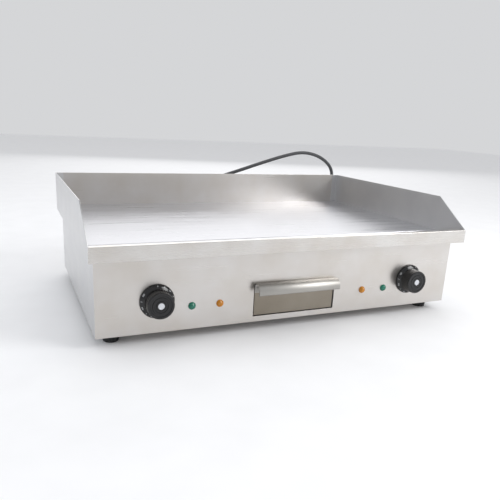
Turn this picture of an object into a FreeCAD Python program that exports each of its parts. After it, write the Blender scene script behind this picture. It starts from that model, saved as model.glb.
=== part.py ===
import FreeCAD, Part
import math
import os
import re
from types import SimpleNamespace

import Sketcher

# A double electric griddle that stands on a counter. Frame: +X right, +Y to the back, +Z up, with
# the origin on the counter under the middle of the machine. All sizes are millimetres.

DIMENSIONS = {
    # deck: the welded top of plate, guards, gutter and front trim
    "deck_width": 730,
    "deck_front": -238.5,
    "deck_back": 241.5,
    "deck_bottom": 149,
    "total_height": 230,
    "guard_sheet": 1.5,
    "overlap": 1,
    "thread_gap": 0.04,
    "guard_slope_run": 83,
    "guard_return": 16,
    "trim_top": 174,
    "trim_depth": 12,
    "trim_bend": 2,
    # griddle plate and the grease gutter in front of it
    "plate_top": 159,
    "plate_thickness": 8,
    "plate_front": -160.5,
    "plate_edge": 1,
    "drain_slot_length": 58,
    "drain_slot_width": 18,
    "drain_slot_y": -194.5,
    "chute_bottom": 92,
    # casing under the deck
    "casing_width": 710,
    "casing_front": -213.5,
    "casing_back": 231.5,
    "casing_bottom": 19,
    "casing_sheet": 1.2,
    "side_flange": 12,
    "panel_flange": 7,
    "rear_screw_x": 348,
    "corner_gap": 0.2,
    "vent_length": 40,
    "vent_width": 4,
    "vent_pitch": 12,
    "rear_screw_low": 25,
    "rear_screw_middle": 85,
    "rear_screw_high": 143,
    "rear_screw_hole": 4,
    "rear_screw_diameter": 3.8,
    "rear_screw_length": 8,
    "rear_head_diameter": 8,
    "rear_head_height": 2.4,
    "rear_vent_left": -190,
    "rear_vent_right": 70,
    "rear_vent_bottom": 75,
    "base_vent_left": -240,
    "base_vent_right": 130,
    "base_vent_front": 20,
    # grease drawer
    "opening_width": 166,
    "opening_bottom": 29,
    "opening_top": 89,
    "drawer_front_width": 162,
    "drawer_front_bottom": 30.5,
    "drawer_front_top": 87.5,
    "drawer_recess": 1.5,
    "tray_width": 158,
    "tray_length": 280,
    "tray_bottom": 31.1,
    "tray_rim": 86,
    "tray_wall": 1,
    "handle_width": 164,
    "handle_reach": 21.4,
    "handle_top": 91,
    "handle_bottom": 73,
    "handle_foot": 72,
    "handle_upper_bend": 8,
    "handle_hem": 1.3,
    "handle_lip": 3.5,
    "rail_gap": 3,
    "rail_foot": 12,
    "rail_lip": 9,
    "rail_clearance": 0.1,
    "rail_headroom": 2,
    "rail_overrun": 6,
    # knobs and thermostats
    "knob_x": 256,
    "knob_z": 74,
    "knob_gap": 1,
    "knob_height": 28,
    "skirt_diameter": 58,
    "grip_diameter": 44.8,
    "grip_start": 7.6,
    "grip_chamfer": 1.6,
    "skirt_edge": 2.6,
    "skirt_top": 7,
    "skirt_step": 1.5,
    "back_depth": 4.5,
    "hub_diameter": 16,
    "flute_diameter": 2.4,
    "flute_offset": 0.7,
    "flute_start": 7.8,
    "mark_width": 1.6,
    "mark_length": 10,
    "mark_depth": 0.5,
    "cap_diameter": 11,
    "cap_height": 1.2,
    "cap_seat": 1.4,
    "cap_gap": 0.1,
    "shaft_diameter": 6,
    "shaft_end": 6,
    "shaft_depth": 20,
    "press_gap": 0.02,
    "running_gap": 0.05,
    "bush_diameter": 9.8,
    "bush_hole": 10,
    "control_screw": 4,
    "control_screw_hole": 4.2,
    "control_screw_length": 9,
    "control_head_diameter": 7,
    "control_head_height": 1.6,
    "tab_width": 6,
    "tab_length": 7,
    "tab_rise": 5,
    "tab_thickness": 0.8,
    "tab_pitch": 12,
    "bulb_diameter": 6,
    "bulb_length": 110,
    "bulb_front": -60,
    "bulb_drop": 4,
    "capillary_diameter": 1.6,
    "thermostat_width": 44,
    "thermostat_height": 34,
    "thermostat_depth": 32,
    "thermostat_hole_pitch": 28,
    # pilot lamps
    "amber_x": 146.5,
    "green_x": 196.5,
    "lamp_z": 60,
    "lens_diameter": 13.5,
    "lens_height": 5.5,
    "lamp_body_diameter": 10,
    "lamp_body_length": 32,
    "lens_rounding": 0.8,
    "clip_diameter": 18,
    "clip_thickness": 0.8,
    # heating
    "heater_diameter": 8,
    "heater_first_x": 70,
    "heater_pitch": 75,
    "heater_front": -125,
    "heater_back": 175,
    "clamp_width": 20,
    "clamp_thickness": 3,
    "clamp_front_y": -70,
    "clamp_back_y": 130,
    "stud_diameter": 6,
    "stud_bottom": 133,
    "clamp_nut_height": 5,
    "clamp_nut_flats": 10,
    "clamp_hole": 6.5,
    "clamp_inner_x": 50,
    "clamp_outer_x": 315,
    "heater_gap": 0.1,
    "heater_end_y": -165,
    "heater_end_z": 108,
    "heater_end_bend": 14,
    "shield_z": 118,
    "shield_front": -150,
    "shield_back": 215,
    "shield_lip": 14,
    "insulation_thickness": 12,
    "insulation_gap": 0.5,
    "insulation_inset": 2,
    # feet
    "foot_diameter": 30,
    "foot_taper": 2,
    "foot_x": 325,
    "foot_front_y": -178.5,
    "foot_back_y": 196.5,
    "foot_rim": 3,
    "foot_well_diameter": 9.2,
    "foot_well_depth": 8,
    "foot_screw_hole": 5.4,
    "foot_screw_diameter": 5,
    "foot_screw_length": 21,
    "foot_head_diameter": 8.4,
    "foot_head_height": 3,
    "foot_nut_flats": 8,
    "foot_nut_height": 4,
    # terminal block and bonding stud
    "terminal_well": 7,
    "terminal_depth": 10,
    "terminal_screw": 5.5,
    "terminal_screw_length": 6,
    "bond_diameter": 6,
    "bond_length": 17,
    "bond_inside": 7.5,
    "bond_hole": 8.2,
    "bond_nut_flats": 10,
    "bond_nut_height": 4,
    # power cord and its gland
    "gland_x": 318,
    "gland_z": 60,
    "gland_flats": 27,
    "gland_nose": 249,
    "gland_flange": 6,
    "gland_thread": 20,
    "gland_hole": 20.2,
    "gland_thread_length": 10,
    "gland_chamfer": 0.5,
    "gland_nose_wall": 4,
    "locknut_height": 4,
    "boot_end": 275,
    "boot_wall": 3.6,
    "boot_end_wall": 1.2,
    "cord_diameter": 9,
    "coil_x": -205,
    "coil_y": 309,
    "coil_radius": 50,
    "coil_build": 18,
    "coil_rounding": 4,
    # plug beside the coil
    "plug_tail_x": -236,
    "plug_z": 18.5,
    "plug_sleeve_length": 28,
    "plug_sleeve_wall": 1,
    "plug_sleeve_end_wall": 4,
    "plug_diameter": 36,
    "plug_length": 36,
    "pin_diameter": 4.8,
    "pin_length": 19,
    "pin_spread": 9.5,
}

doc = FreeCAD.newDocument("FlatTopGriddle")
sheet = doc.addObject("Spreadsheet::Sheet", "Dims")
for row, (word, number) in enumerate(DIMENSIONS.items(), start=1):
    sheet.set(f"A{row}", word)
    sheet.set(f"B{row}", str(number))
    sheet.setAlias(f"B{row}", word)
doc.recompute()
dims = SimpleNamespace(**{word: float(sheet.get(word)) for word in DIMENSIONS})

SIDES = {"left": -1, "right": 1}
pieces = []


# ---- helpers ----------------------------------------------------------------------------------

def in_sheet(formula):
    """Turn a formula of sheet words into an expression on the sheet's cells."""
    return re.sub(r"[a-z][a-z_]+", lambda word: "Dims." + word.group(), str(formula))


def bind(item, **formulas):
    """Bind properties of an object to formulas of sheet words."""
    for name, formula in formulas.items():
        item.setExpression(name, in_sheet(formula))
    return item


def place(item, x="0", y="0", z="0"):
    """Bind where an object stands."""
    for axis, formula in (("x", x), ("y", y), ("z", z)):
        item.setExpression(f"Placement.Base.{axis}", in_sheet(formula))
    return item


def turn(item, along):
    """Turn an object made along Z so that it runs along X or Y."""
    turns = {"x": ((0, 1, 0), 90), "y": ((1, 0, 0), -90), "-y": ((1, 0, 0), 90), "z": ((0, 0, 1), 0)}
    axis, angle = turns[along]
    item.Placement.Rotation = FreeCAD.Rotation(FreeCAD.Vector(*axis), angle)
    return item


def piece(item):
    """Keep a finished sub-part for writing; its label is its node name."""
    item.Label = item.Name
    pieces.append(item)
    return item


def block(name, x, y, z):
    """A box between low and high formulas on each axis."""
    box = doc.addObject("Part::Box", name)
    spans = {"Length": x, "Width": y, "Height": z}
    bind(box, **{side: f"({high}) - ({low})" for side, (low, high) in spans.items()})
    return place(box, x[0], y[0], z[0])


def rod(name, diameter, length, x, y, z, along="z"):
    """A round bar that starts at a point and runs along one axis."""
    bar = doc.addObject("Part::Cylinder", name)
    bind(bar, Radius=f"({diameter}) / 2", Height=length)
    return place(turn(bar, along), x, y, z)


def hexagon(name, flats, length, x, y, z, along="z"):
    """A hexagonal bar given across its flats."""
    bar = doc.addObject("Part::Prism", name)
    bar.Polygon = 6
    bind(bar, Circumradius=f"({flats}) / {math.sqrt(3):.5f}", Height=length)
    return place(turn(bar, along), x, y, z)


def fuse(name, *items):
    joined = doc.addObject("Part::MultiFuse", name)
    joined.Shapes = list(items)
    return joined


def cut(name, base, *tools):
    removed = tools[0] if len(tools) == 1 else fuse(name + "_cutters", *tools)
    result = doc.addObject("Part::Cut", name)
    result.Base = base
    result.Tool = removed
    return result


def group(name, items):
    """Equal pieces that share one node, each a separate solid."""
    together = doc.addObject("Part::Compound", name)
    together.Links = list(items)
    return together


def mirrored(name, source):
    """The right-hand twin of a left-hand piece."""
    twin = doc.addObject("Part::Mirroring", name)
    twin.Source = source
    twin.Normal = FreeCAD.Vector(1, 0, 0)
    return twin


def new_body(name):
    return doc.addObject("PartDesign::Body", name)


def new_sketch(body, plane):
    """An empty sketch on one of a body's own origin planes."""
    sketch = body.newObject("Sketcher::SketchObject", f"{body.Name}_sketch")
    support = next(item for item in body.Origin.OriginFeatures if item.Role == plane)
    sketch.AttachmentSupport = (support, [""])
    sketch.MapMode = "FlatFace"
    return sketch


def pin_point(sketch, geometry, end, across, up):
    """Hold one sketch point at two formulas from the origin."""
    for direction, formula in (("DistanceX", across), ("DistanceY", up)):
        index = sketch.addConstraint(Sketcher.Constraint(direction, -1, 1, geometry, end, 1.0))
        sketch.setExpression(f"Constraints[{index}]", in_sheet(formula))


def draw_polygon(sketch, corners):
    """A closed outline of straight lines; each corner is a pair of formulas."""
    count = len(corners)
    first = sketch.GeometryCount
    ring = [FreeCAD.Vector(100 * math.cos(2 * math.pi * i / count),
                           100 * math.sin(2 * math.pi * i / count), 0) for i in range(count)]
    for i in range(count):
        sketch.addGeometry(Part.LineSegment(ring[i], ring[(i + 1) % count]))
    for i in range(count):
        joint = Sketcher.Constraint("Coincident", first + i, 2, first + (i + 1) % count, 1)
        sketch.addConstraint(joint)
    for i, (across, up) in enumerate(corners):
        pin_point(sketch, first + i, 1, across, up)


def draw_rectangle(sketch, across, up):
    left, right = across
    low, high = up
    draw_polygon(sketch, [(left, low), (right, low), (right, high), (left, high)])


def draw_circle(sketch, across, up, diameter):
    circle = sketch.addGeometry(Part.Circle(FreeCAD.Vector(0, 0, 0), FreeCAD.Vector(0, 0, 1), 5))
    pin_point(sketch, circle, 3, across, up)
    index = sketch.addConstraint(Sketcher.Constraint("Diameter", circle, 10.0))
    sketch.setExpression(f"Constraints[{index}]", in_sheet(diameter))


def pad(body, sketch, length, reverse=False, both_ways=False):
    feature = body.newObject("PartDesign::Pad", f"{body.Name}_pad")
    feature.Profile = sketch
    feature.Reversed = reverse
    feature.SideType = "Symmetric" if both_ways else "One side"
    return bind(feature, Length=length)


def pocket_through(body, sketch):
    """Cut a sketch right through the body, both ways from its plane."""
    feature = body.newObject("PartDesign::Pocket", f"{body.Name}_pocket")
    feature.Profile = sketch
    feature.Type = "ThroughAll"
    feature.SideType = "Symmetric"
    return feature


def pocket(body, sketch, depth, reverse=False):
    feature = body.newObject("PartDesign::Pocket", f"{body.Name}_pocket")
    feature.Profile = sketch
    feature.Reversed = reverse
    return bind(feature, Length=depth)


def revolve(body, corners, plane):
    """Turn a closed outline of (radius, height) formulas about the sketch's upright axis."""
    sketch = new_sketch(body, plane)
    draw_polygon(sketch, corners)
    feature = body.newObject("PartDesign::Revolution", f"{body.Name}_turning")
    feature.Profile = sketch
    feature.ReferenceAxis = (sketch, ["V_Axis"])
    feature.Angle = 360
    return feature


def round_edges(body, radius, chosen):
    """Fillet the edges of a body that pass a test."""
    doc.recompute()
    names = [f"Edge{i}" for i, edge in enumerate(body.Shape.Edges, start=1) if chosen(edge)]
    last = body.Tip
    feature = body.newObject("PartDesign::Fillet", f"{body.Name}_rounding")
    feature.Base = (last, names)
    return bind(feature, Radius=radius)


def rounded_path(points, radii):
    """A wire of straight runs joined by tangent arcs, one radius for each inner point."""
    points = [FreeCAD.Vector(*point) for point in points]
    edges = []
    start = points[0]
    for before, corner, after, radius in zip(points, points[1:], points[2:], radii):
        back = (before - corner).normalize()
        ahead = (after - corner).normalize()
        half_turn = (math.pi - back.getAngle(ahead)) / 2
        reach = radius * math.tan(half_turn)
        arc_start = corner + back * reach
        arc_end = corner + ahead * reach
        middle = (back + ahead).normalize()
        arc_middle = corner + middle * (radius / math.cos(half_turn) - radius)
        if (arc_start - start).Length > 1e-4:
            edges.append(Part.LineSegment(start, arc_start).toShape())
        edges.append(Part.Arc(arc_start, arc_middle, arc_end).toShape())
        start = arc_end
    if (points[-1] - start).Length > 1e-4:
        edges.append(Part.LineSegment(start, points[-1]).toShape())
    return Part.Wire(edges)


def tube(path, diameter):
    """A round solid swept along a wire."""
    start = path.OrderedVertexes[0].Point
    direction = path.OrderedEdges[0].tangentAt(path.OrderedEdges[0].FirstParameter)
    section = Part.Wire([Part.makeCircle(diameter / 2, start, direction)])
    return path.makePipeShell([section], True, False)


def shaped(name, shape):
    """A sub-part whose shape comes from Part's own functions."""
    item = doc.addObject("Part::Feature", name)
    item.Shape = shape
    item.Placement = FreeCAD.Placement()
    return item


# ---- deck ---------------------------------------------------------------------------------------

def splash_guard_left():
    """Sloped side guard with a return behind at the back corner and a flange under the overhang."""
    body = new_body("splash_left")
    wall = new_sketch(body, "YZ_Plane")
    draw_polygon(wall, [
        ("deck_front + guard_sheet", "deck_bottom"),
        ("deck_front + guard_sheet", "trim_top"),
        ("deck_front + guard_slope_run", "total_height"),
        ("deck_back - guard_sheet", "total_height"),
        ("deck_back - guard_sheet", "deck_bottom"),
    ])
    pad(body, wall, "guard_sheet")
    corner = new_sketch(body, "YZ_Plane")
    draw_rectangle(corner, ("deck_back - 2 * guard_sheet", "deck_back - guard_sheet"),
                   ("plate_top", "total_height"))
    pad(body, corner, "guard_return")
    under = new_sketch(body, "YZ_Plane")
    draw_rectangle(under, ("deck_front + trim_depth", "deck_back - guard_sheet"),
                   ("deck_bottom", "deck_bottom + guard_sheet"))
    pad(body, under, "(deck_width - casing_width) / 2 - corner_gap")
    return place(body, x="-deck_width / 2")


def splash_guard_back():
    """Upright back guard across the full width, with a flange under the overhang."""
    wall = block("splash_back_wall", ("-deck_width / 2", "deck_width / 2"),
                 ("deck_back - guard_sheet", "deck_back"), ("deck_bottom", "total_height"))
    flange = block("splash_back_flange", ("-casing_width / 2", "casing_width / 2"),
                   ("casing_back + corner_gap", "deck_back"),
                   ("deck_bottom", "deck_bottom + guard_sheet"))
    return fuse("splash_back", wall, flange)


def front_trim():
    """Folded channel along the front: face, top, inner return and a lip under it."""
    body = new_body("front_trim")
    face = new_sketch(body, "YZ_Plane")
    draw_rectangle(face, ("deck_front", "deck_front + guard_sheet"), ("deck_bottom", "trim_top"))
    pad(body, face, "deck_width", both_ways=True)
    fold = new_sketch(body, "YZ_Plane")
    floor = "plate_top - plate_thickness + casing_sheet"
    draw_polygon(fold, [
        ("deck_front", "deck_bottom"),
        ("deck_front", "trim_top"),
        ("deck_front + trim_depth", "trim_top"),
        ("deck_front + trim_depth", floor),
        ("deck_front + trim_depth - guard_sheet", floor),
        ("deck_front + trim_depth - guard_sheet", "trim_top - guard_sheet"),
        ("deck_front + guard_sheet", "trim_top - guard_sheet"),
        ("deck_front + guard_sheet", "deck_bottom + guard_sheet"),
        ("deck_front + trim_depth", "deck_bottom + guard_sheet"),
        ("deck_front + trim_depth", "deck_bottom"),
    ])
    pad(body, fold, "deck_width - 2 * guard_sheet", both_ways=True)

    def on_outer_bend(edge):
        box = edge.BoundBox
        at_front = abs(box.YMin - dims.deck_front) < 0.01 and box.YLength < 0.01
        at_back = abs(box.YMin - dims.deck_front - dims.trim_depth) < 0.01 and box.YLength < 0.01
        at_top = abs(box.ZMin - dims.trim_top) < 0.01 and box.ZLength < 0.01
        return box.XLength > 1 and at_top and (at_front or at_back)

    round_edges(body, "trim_bend / 2", on_outer_bend)
    return body


def griddle_plate():
    """Thick steel plate welded between the guards, its front edge broken by a chamfer."""
    body = new_body("griddle_plate")
    outline = new_sketch(body, "XY_Plane")
    draw_rectangle(outline, ("-deck_width / 2 + guard_sheet", "deck_width / 2 - guard_sheet"),
                   ("plate_front", "deck_back - guard_sheet"))
    pad(body, outline, "plate_thickness")
    doc.recompute()
    front_top = [
        f"Edge{i}" for i, edge in enumerate(body.Shape.Edges, start=1)
        if edge.BoundBox.YMax < dims.plate_front + 0.01
        and edge.BoundBox.ZMin > dims.plate_thickness - 0.01
    ]
    last = body.Tip
    chamfer = body.newObject("PartDesign::Chamfer", "griddle_plate_chamfer")
    chamfer.Base = (last, front_top)
    bind(chamfer, Size="plate_edge")
    return place(body, z="plate_top - plate_thickness")


def grease_gutter():
    """Floor sheet of the gutter with the drain slot, and the square chute welded under it."""
    gutter_top = "plate_top - plate_thickness + casing_sheet"
    floor = block("grease_gutter_floor", ("-deck_width / 2 + guard_sheet", "deck_width / 2 - guard_sheet"),
                  ("deck_front + trim_depth - guard_sheet", "plate_front"),
                  ("plate_top - plate_thickness", gutter_top))
    half_length, half_width = "drain_slot_length / 2", "drain_slot_width / 2"
    wall = "(corner_gap + casing_sheet)"
    slot = block("drain_slot", (f"-({half_length})", half_length),
                 (f"drain_slot_y - {half_width}", f"drain_slot_y + {half_width}"),
                 ("chute_bottom", gutter_top + " + overlap"))
    outer = block("drain_chute_outer",
                  (f"-({half_length}) - {wall}", f"{half_length} + {wall}"),
                  (f"drain_slot_y - {half_width} - {wall}", f"drain_slot_y + {half_width} + {wall}"),
                  ("chute_bottom", "plate_top - plate_thickness"))
    inner = block("drain_chute_inner",
                  (f"-({half_length}) - corner_gap", f"{half_length} + corner_gap"),
                  (f"drain_slot_y - {half_width} - corner_gap",
                   f"drain_slot_y + {half_width} + corner_gap"),
                  ("chute_bottom - overlap", "plate_top"))
    return cut("grease_gutter", floor, slot), cut("drain_chute", outer, inner)


# ---- casing -------------------------------------------------------------------------------------

REAR_SCREW_HEIGHTS = ("rear_screw_low", "rear_screw_middle", "rear_screw_high")
VENTS_IN_BANK = 10


def side_panel_left():
    """Pan-shaped side wall: a web with flanges folded in on all four edges."""
    body = new_body("side_panel_left")
    outline = new_sketch(body, "YZ_Plane")
    draw_rectangle(outline, ("casing_front + casing_sheet", "casing_back - casing_sheet"),
                   ("casing_bottom", "plate_top - plate_thickness"))
    pad(body, outline, "side_flange + casing_sheet")
    hollow = new_sketch(body, "YZ_Plane")
    draw_rectangle(hollow, ("casing_front + 2 * casing_sheet", "casing_back - 2 * casing_sheet"),
                   ("casing_bottom + casing_sheet", "plate_top - plate_thickness - casing_sheet"))
    hollow.setExpression("AttachmentOffset.Base.z", in_sheet("casing_sheet"))
    pocket(body, hollow, "side_flange + overlap", reverse=True)
    holes = new_sketch(body, "XZ_Plane")
    for height in REAR_SCREW_HEIGHTS:
        draw_circle(holes, "casing_width / 2 - rear_screw_x", height, "rear_screw_hole")
    backward = pocket(body, holes, "overlap")
    backward.Type = "ThroughAll"
    return place(body, x="-casing_width / 2")


def flat_wall(name, holes, opening=False):
    """A front or rear wall seen from outside: a flat face with flanges folded in above and below.

    Each hole is (across, up, diameter).
    """
    body = new_body(name)
    face = new_sketch(body, "XZ_Plane")
    draw_rectangle(face, ("-casing_width / 2", "casing_width / 2"),
                   ("casing_bottom", "plate_top - plate_thickness"))
    pad(body, face, "casing_sheet")
    folds = new_sketch(body, "XZ_Plane")
    reach = "casing_width / 2 - side_flange - casing_sheet - corner_gap"
    for low, high in (("casing_bottom", "casing_bottom + casing_sheet"),
                      ("plate_top - plate_thickness - casing_sheet", "plate_top - plate_thickness")):
        draw_rectangle(folds, ("-(" + reach + ")", reach), (low, high))
    pad(body, folds, "panel_flange", reverse=True)
    cuts = new_sketch(body, "XZ_Plane")
    for across, up, diameter in holes:
        draw_circle(cuts, across, up, diameter)
    if opening:
        draw_rectangle(cuts, ("-opening_width / 2", "opening_width / 2"),
                       ("opening_bottom", "opening_top"))
    pocket_through(body, cuts)
    return body


def front_panel():
    """Front wall with the drawer opening, lamp holes, shaft holes and thermostat screw holes."""
    holes = []
    for side in ("-", ""):
        holes += [(f"{side}amber_x", "lamp_z", "lamp_body_diameter"),
                  (f"{side}green_x", "lamp_z", "lamp_body_diameter"),
                  (f"{side}knob_x", "knob_z", "bush_hole")]
        holes += [(f"{side}knob_x {step} thermostat_hole_pitch / 2", "knob_z", "control_screw_hole")
                  for step in ("-", "+")]
    body = flat_wall("front_panel", holes, opening=True)
    return place(body, y="casing_front + casing_sheet")


def rear_panel():
    """Rear wall with two banks of vent slots and holes for the gland, bonding stud and screws."""
    holes = [("-gland_x", "gland_z", "gland_hole"), ("gland_x", "gland_z", "bond_hole")]
    holes += [(f"{side}rear_screw_x", height, "rear_screw_hole")
              for side in ("-", "") for height in REAR_SCREW_HEIGHTS]
    body = flat_wall("rear_panel", holes)
    for bank in ("left", "right"):
        start = f"rear_vent_{bank}"
        slot = new_sketch(body, "XZ_Plane")
        draw_rectangle(slot, (start, start + " + vent_width"),
                       ("rear_vent_bottom", "rear_vent_bottom + vent_length"))
        opening = pocket_through(body, slot)
        row = body.newObject("PartDesign::LinearPattern", f"rear_vents_{bank}")
        row.Originals = [opening]
        row.Direction = (slot, ["H_Axis"])
        row.Occurrences = VENTS_IN_BANK
        bind(row, Length=f"{VENTS_IN_BANK - 1} * vent_pitch")
        body.Tip = row
    body.Placement.Rotation = FreeCAD.Rotation(FreeCAD.Vector(0, 0, 1), 180)
    return place(body, y="casing_back - casing_sheet")


def base_panel():
    """Bottom sheet that rests on the side flanges, with foot holes and a bank of vent slots."""
    body = new_body("base_panel")
    outline = new_sketch(body, "XY_Plane")
    inset = "2 * casing_sheet + corner_gap"
    draw_rectangle(outline, (f"-casing_width / 2 + {inset}", f"casing_width / 2 - ({inset})"),
                   (f"casing_front + {inset}", f"casing_back - ({inset})"))
    pad(body, outline, "casing_sheet")
    holes = new_sketch(body, "XY_Plane")
    for across in ("-foot_x", "foot_x"):
        for along in ("foot_front_y", "foot_back_y"):
            draw_circle(holes, across, along, "foot_screw_hole")
    pocket_through(body, holes)
    for bank in ("left", "right"):
        start = f"base_vent_{bank}"
        slot = new_sketch(body, "XY_Plane")
        draw_rectangle(slot, (start, start + " + vent_width"),
                       ("base_vent_front", "base_vent_front + 2 * vent_length"))
        opening = pocket_through(body, slot)
        row = body.newObject("PartDesign::LinearPattern", f"base_vents_{bank}")
        row.Originals = [opening]
        row.Direction = (slot, ["H_Axis"])
        row.Occurrences = VENTS_IN_BANK
        bind(row, Length=f"{VENTS_IN_BANK - 1} * vent_pitch")
        body.Tip = row
    return place(body, z="casing_bottom + casing_sheet")


def foot(name, x, y):
    """Tapered rubber foot, hollow below so that its screw head clears the counter."""
    body = new_body(name)
    wide = "foot_diameter / 2"
    well, bore = "foot_well_diameter / 2", "foot_screw_hole / 2"
    revolve(body, [
        (well, "0"),
        (f"{wide} - foot_taper", "0"),
        (wide, "casing_bottom - foot_rim"),
        (wide, "casing_bottom + casing_sheet"),
        (bore, "casing_bottom + casing_sheet"),
        (bore, "foot_well_depth"),
        (well, "foot_well_depth"),
    ], "XZ_Plane")
    return place(body, x, y)


def feet():
    spots = {"front": "foot_front_y", "back": "foot_back_y"}
    made, screws, nuts = [], [], []
    for end, y in spots.items():
        for side, sign in SIDES.items():
            x = f"{sign} * foot_x"
            tag = f"{end}_{side}"
            made.append(foot(f"foot_{tag}", x, y))
            head = rod(f"foot_screw_head_{tag}", "foot_head_diameter", "foot_head_height", x, y,
                       "foot_well_depth - foot_head_height")
            shank = rod(f"foot_screw_shank_{tag}", "foot_screw_diameter", "foot_screw_length", x, y,
                        "foot_well_depth - overlap")
            screws.append(fuse(f"foot_screw_{tag}", head, shank))
            blank = hexagon(f"foot_nut_blank_{tag}", "foot_nut_flats", "foot_nut_height", x, y,
                            "casing_bottom + 2 * casing_sheet")
            bore = rod(f"foot_nut_bore_{tag}", "foot_screw_diameter + thread_gap",
                       "foot_nut_height + 2 * casing_sheet + overlap", x, y, "casing_bottom")
            nuts.append(cut(f"foot_nut_{tag}", blank, bore))
    return made, group("foot_screws", screws), group("foot_nuts", nuts)


def rear_screws():
    """Pan-head screws that hold the rear wall on; it comes off for service."""
    screws = []
    for side, sign in SIDES.items():
        for z in REAR_SCREW_HEIGHTS:
            x = f"{sign} * rear_screw_x"
            tag = f"{z}_{side}"
            head = rod(f"{tag}_head", "rear_head_diameter", "rear_head_height", x, "casing_back", z,
                       along="y")
            shank = rod(f"{tag}_shank", "rear_screw_diameter", "rear_screw_length", x,
                        "casing_back + overlap", z, along="-y")
            screws.append(fuse(tag, head, shank))
    return group("rear_screws", screws)


# ---- grease drawer ------------------------------------------------------------------------------

def drawer_rail_left():
    """Folded rail beside the tray: foot on the base, wall, ledge under the tray and lip over it."""
    body = new_body("drawer_rail_left")
    section = new_sketch(body, "XZ_Plane")
    foot_z = "casing_bottom + 2 * casing_sheet"
    inner = "-tray_width / 2 - rail_gap"
    outer = "-tray_width / 2 - rail_gap - casing_sheet"
    ledge = "tray_bottom - rail_clearance"
    lip = "tray_rim + rail_headroom"
    draw_polygon(section, [
        (outer + " - rail_foot", foot_z),
        (inner, foot_z),
        (inner, ledge + " - casing_sheet"),
        (inner + " + rail_foot", ledge + " - casing_sheet"),
        (inner + " + rail_foot", ledge),
        (inner, ledge),
        (inner, lip),
        (inner + " + rail_lip", lip),
        (inner + " + rail_lip", lip + " + casing_sheet"),
        (outer, lip + " + casing_sheet"),
        (outer, foot_z + " + casing_sheet"),
        (outer + " - rail_foot", foot_z + " + casing_sheet"),
    ])
    pad(body, section, "tray_length + rail_overrun", reverse=True)
    return place(body, y="casing_front + drawer_recess + 2 * casing_sheet")


def drawer_front():
    """Face plate of the drawer, a little behind the panel's face."""
    back = "casing_front + drawer_recess + casing_sheet"
    return block("drawer_front", ("-drawer_front_width / 2", "drawer_front_width / 2"),
                 ("casing_front + drawer_recess", back),
                 ("drawer_front_bottom", "drawer_front_top"))


def drawer_tray():
    """Open pan that catches the grease, folded from thin sheet with rounded corners."""
    body = new_body("drawer_tray")
    start = "casing_front + drawer_recess + casing_sheet"
    outline = new_sketch(body, "XY_Plane")
    draw_rectangle(outline, ("-tray_width / 2", "tray_width / 2"), (start, start + " + tray_length"))
    pad(body, outline, "tray_rim - tray_bottom")
    round_edges(body, "2 * tray_wall", lambda edge: edge.BoundBox.ZLength > dims.tray_rim / 2)
    hollow = new_sketch(body, "XY_Plane")
    draw_rectangle(hollow, ("-tray_width / 2 + tray_wall", "tray_width / 2 - tray_wall"),
                   (start + " + tray_wall", start + " + tray_length - tray_wall"))
    hollow.setExpression("AttachmentOffset.Base.z", in_sheet("tray_wall"))
    pocket(body, hollow, "tray_rim", reverse=True)
    round_edges(body, "tray_wall", lambda edge: edge.BoundBox.ZLength > dims.tray_rim / 2
                and edge.BoundBox.ZMin > dims.tray_wall / 2)
    return place(body, z="tray_bottom")


def drawer_handle():
    """Full-width pull: a strip that rises from the face, rolls over and hooks down in front."""
    back = dims.casing_front + dims.drawer_recess - dims.casing_sheet / 2
    front = back - dims.handle_reach
    upper_bend = dims.handle_upper_bend
    front_bend = dims.handle_reach - upper_bend
    hem = dims.handle_hem
    route = [
        (0, back, dims.handle_foot),
        (0, back, dims.handle_top),
        (0, front, dims.handle_top),
        (0, front, dims.handle_bottom),
        (0, front + 2 * hem, dims.handle_bottom),
        (0, front + 2 * hem, dims.handle_bottom + dims.handle_lip),
    ]
    path = rounded_path(route, [upper_bend, front_bend, hem, hem])
    half_width = dims.handle_width / 2
    half_sheet = dims.casing_sheet / 2
    corners = [(side * half_width, back + step * half_sheet, route[0][2])
               for side, step in ((-1, -1), (1, -1), (1, 1), (-1, 1), (-1, -1))]
    section = Part.makePolygon([FreeCAD.Vector(*corner) for corner in corners])
    return shaped("drawer_handle", path.makePipeShell([section], True, False))


# ---- knobs and thermostats ----------------------------------------------------------------------

FLUTES = 36


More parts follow.
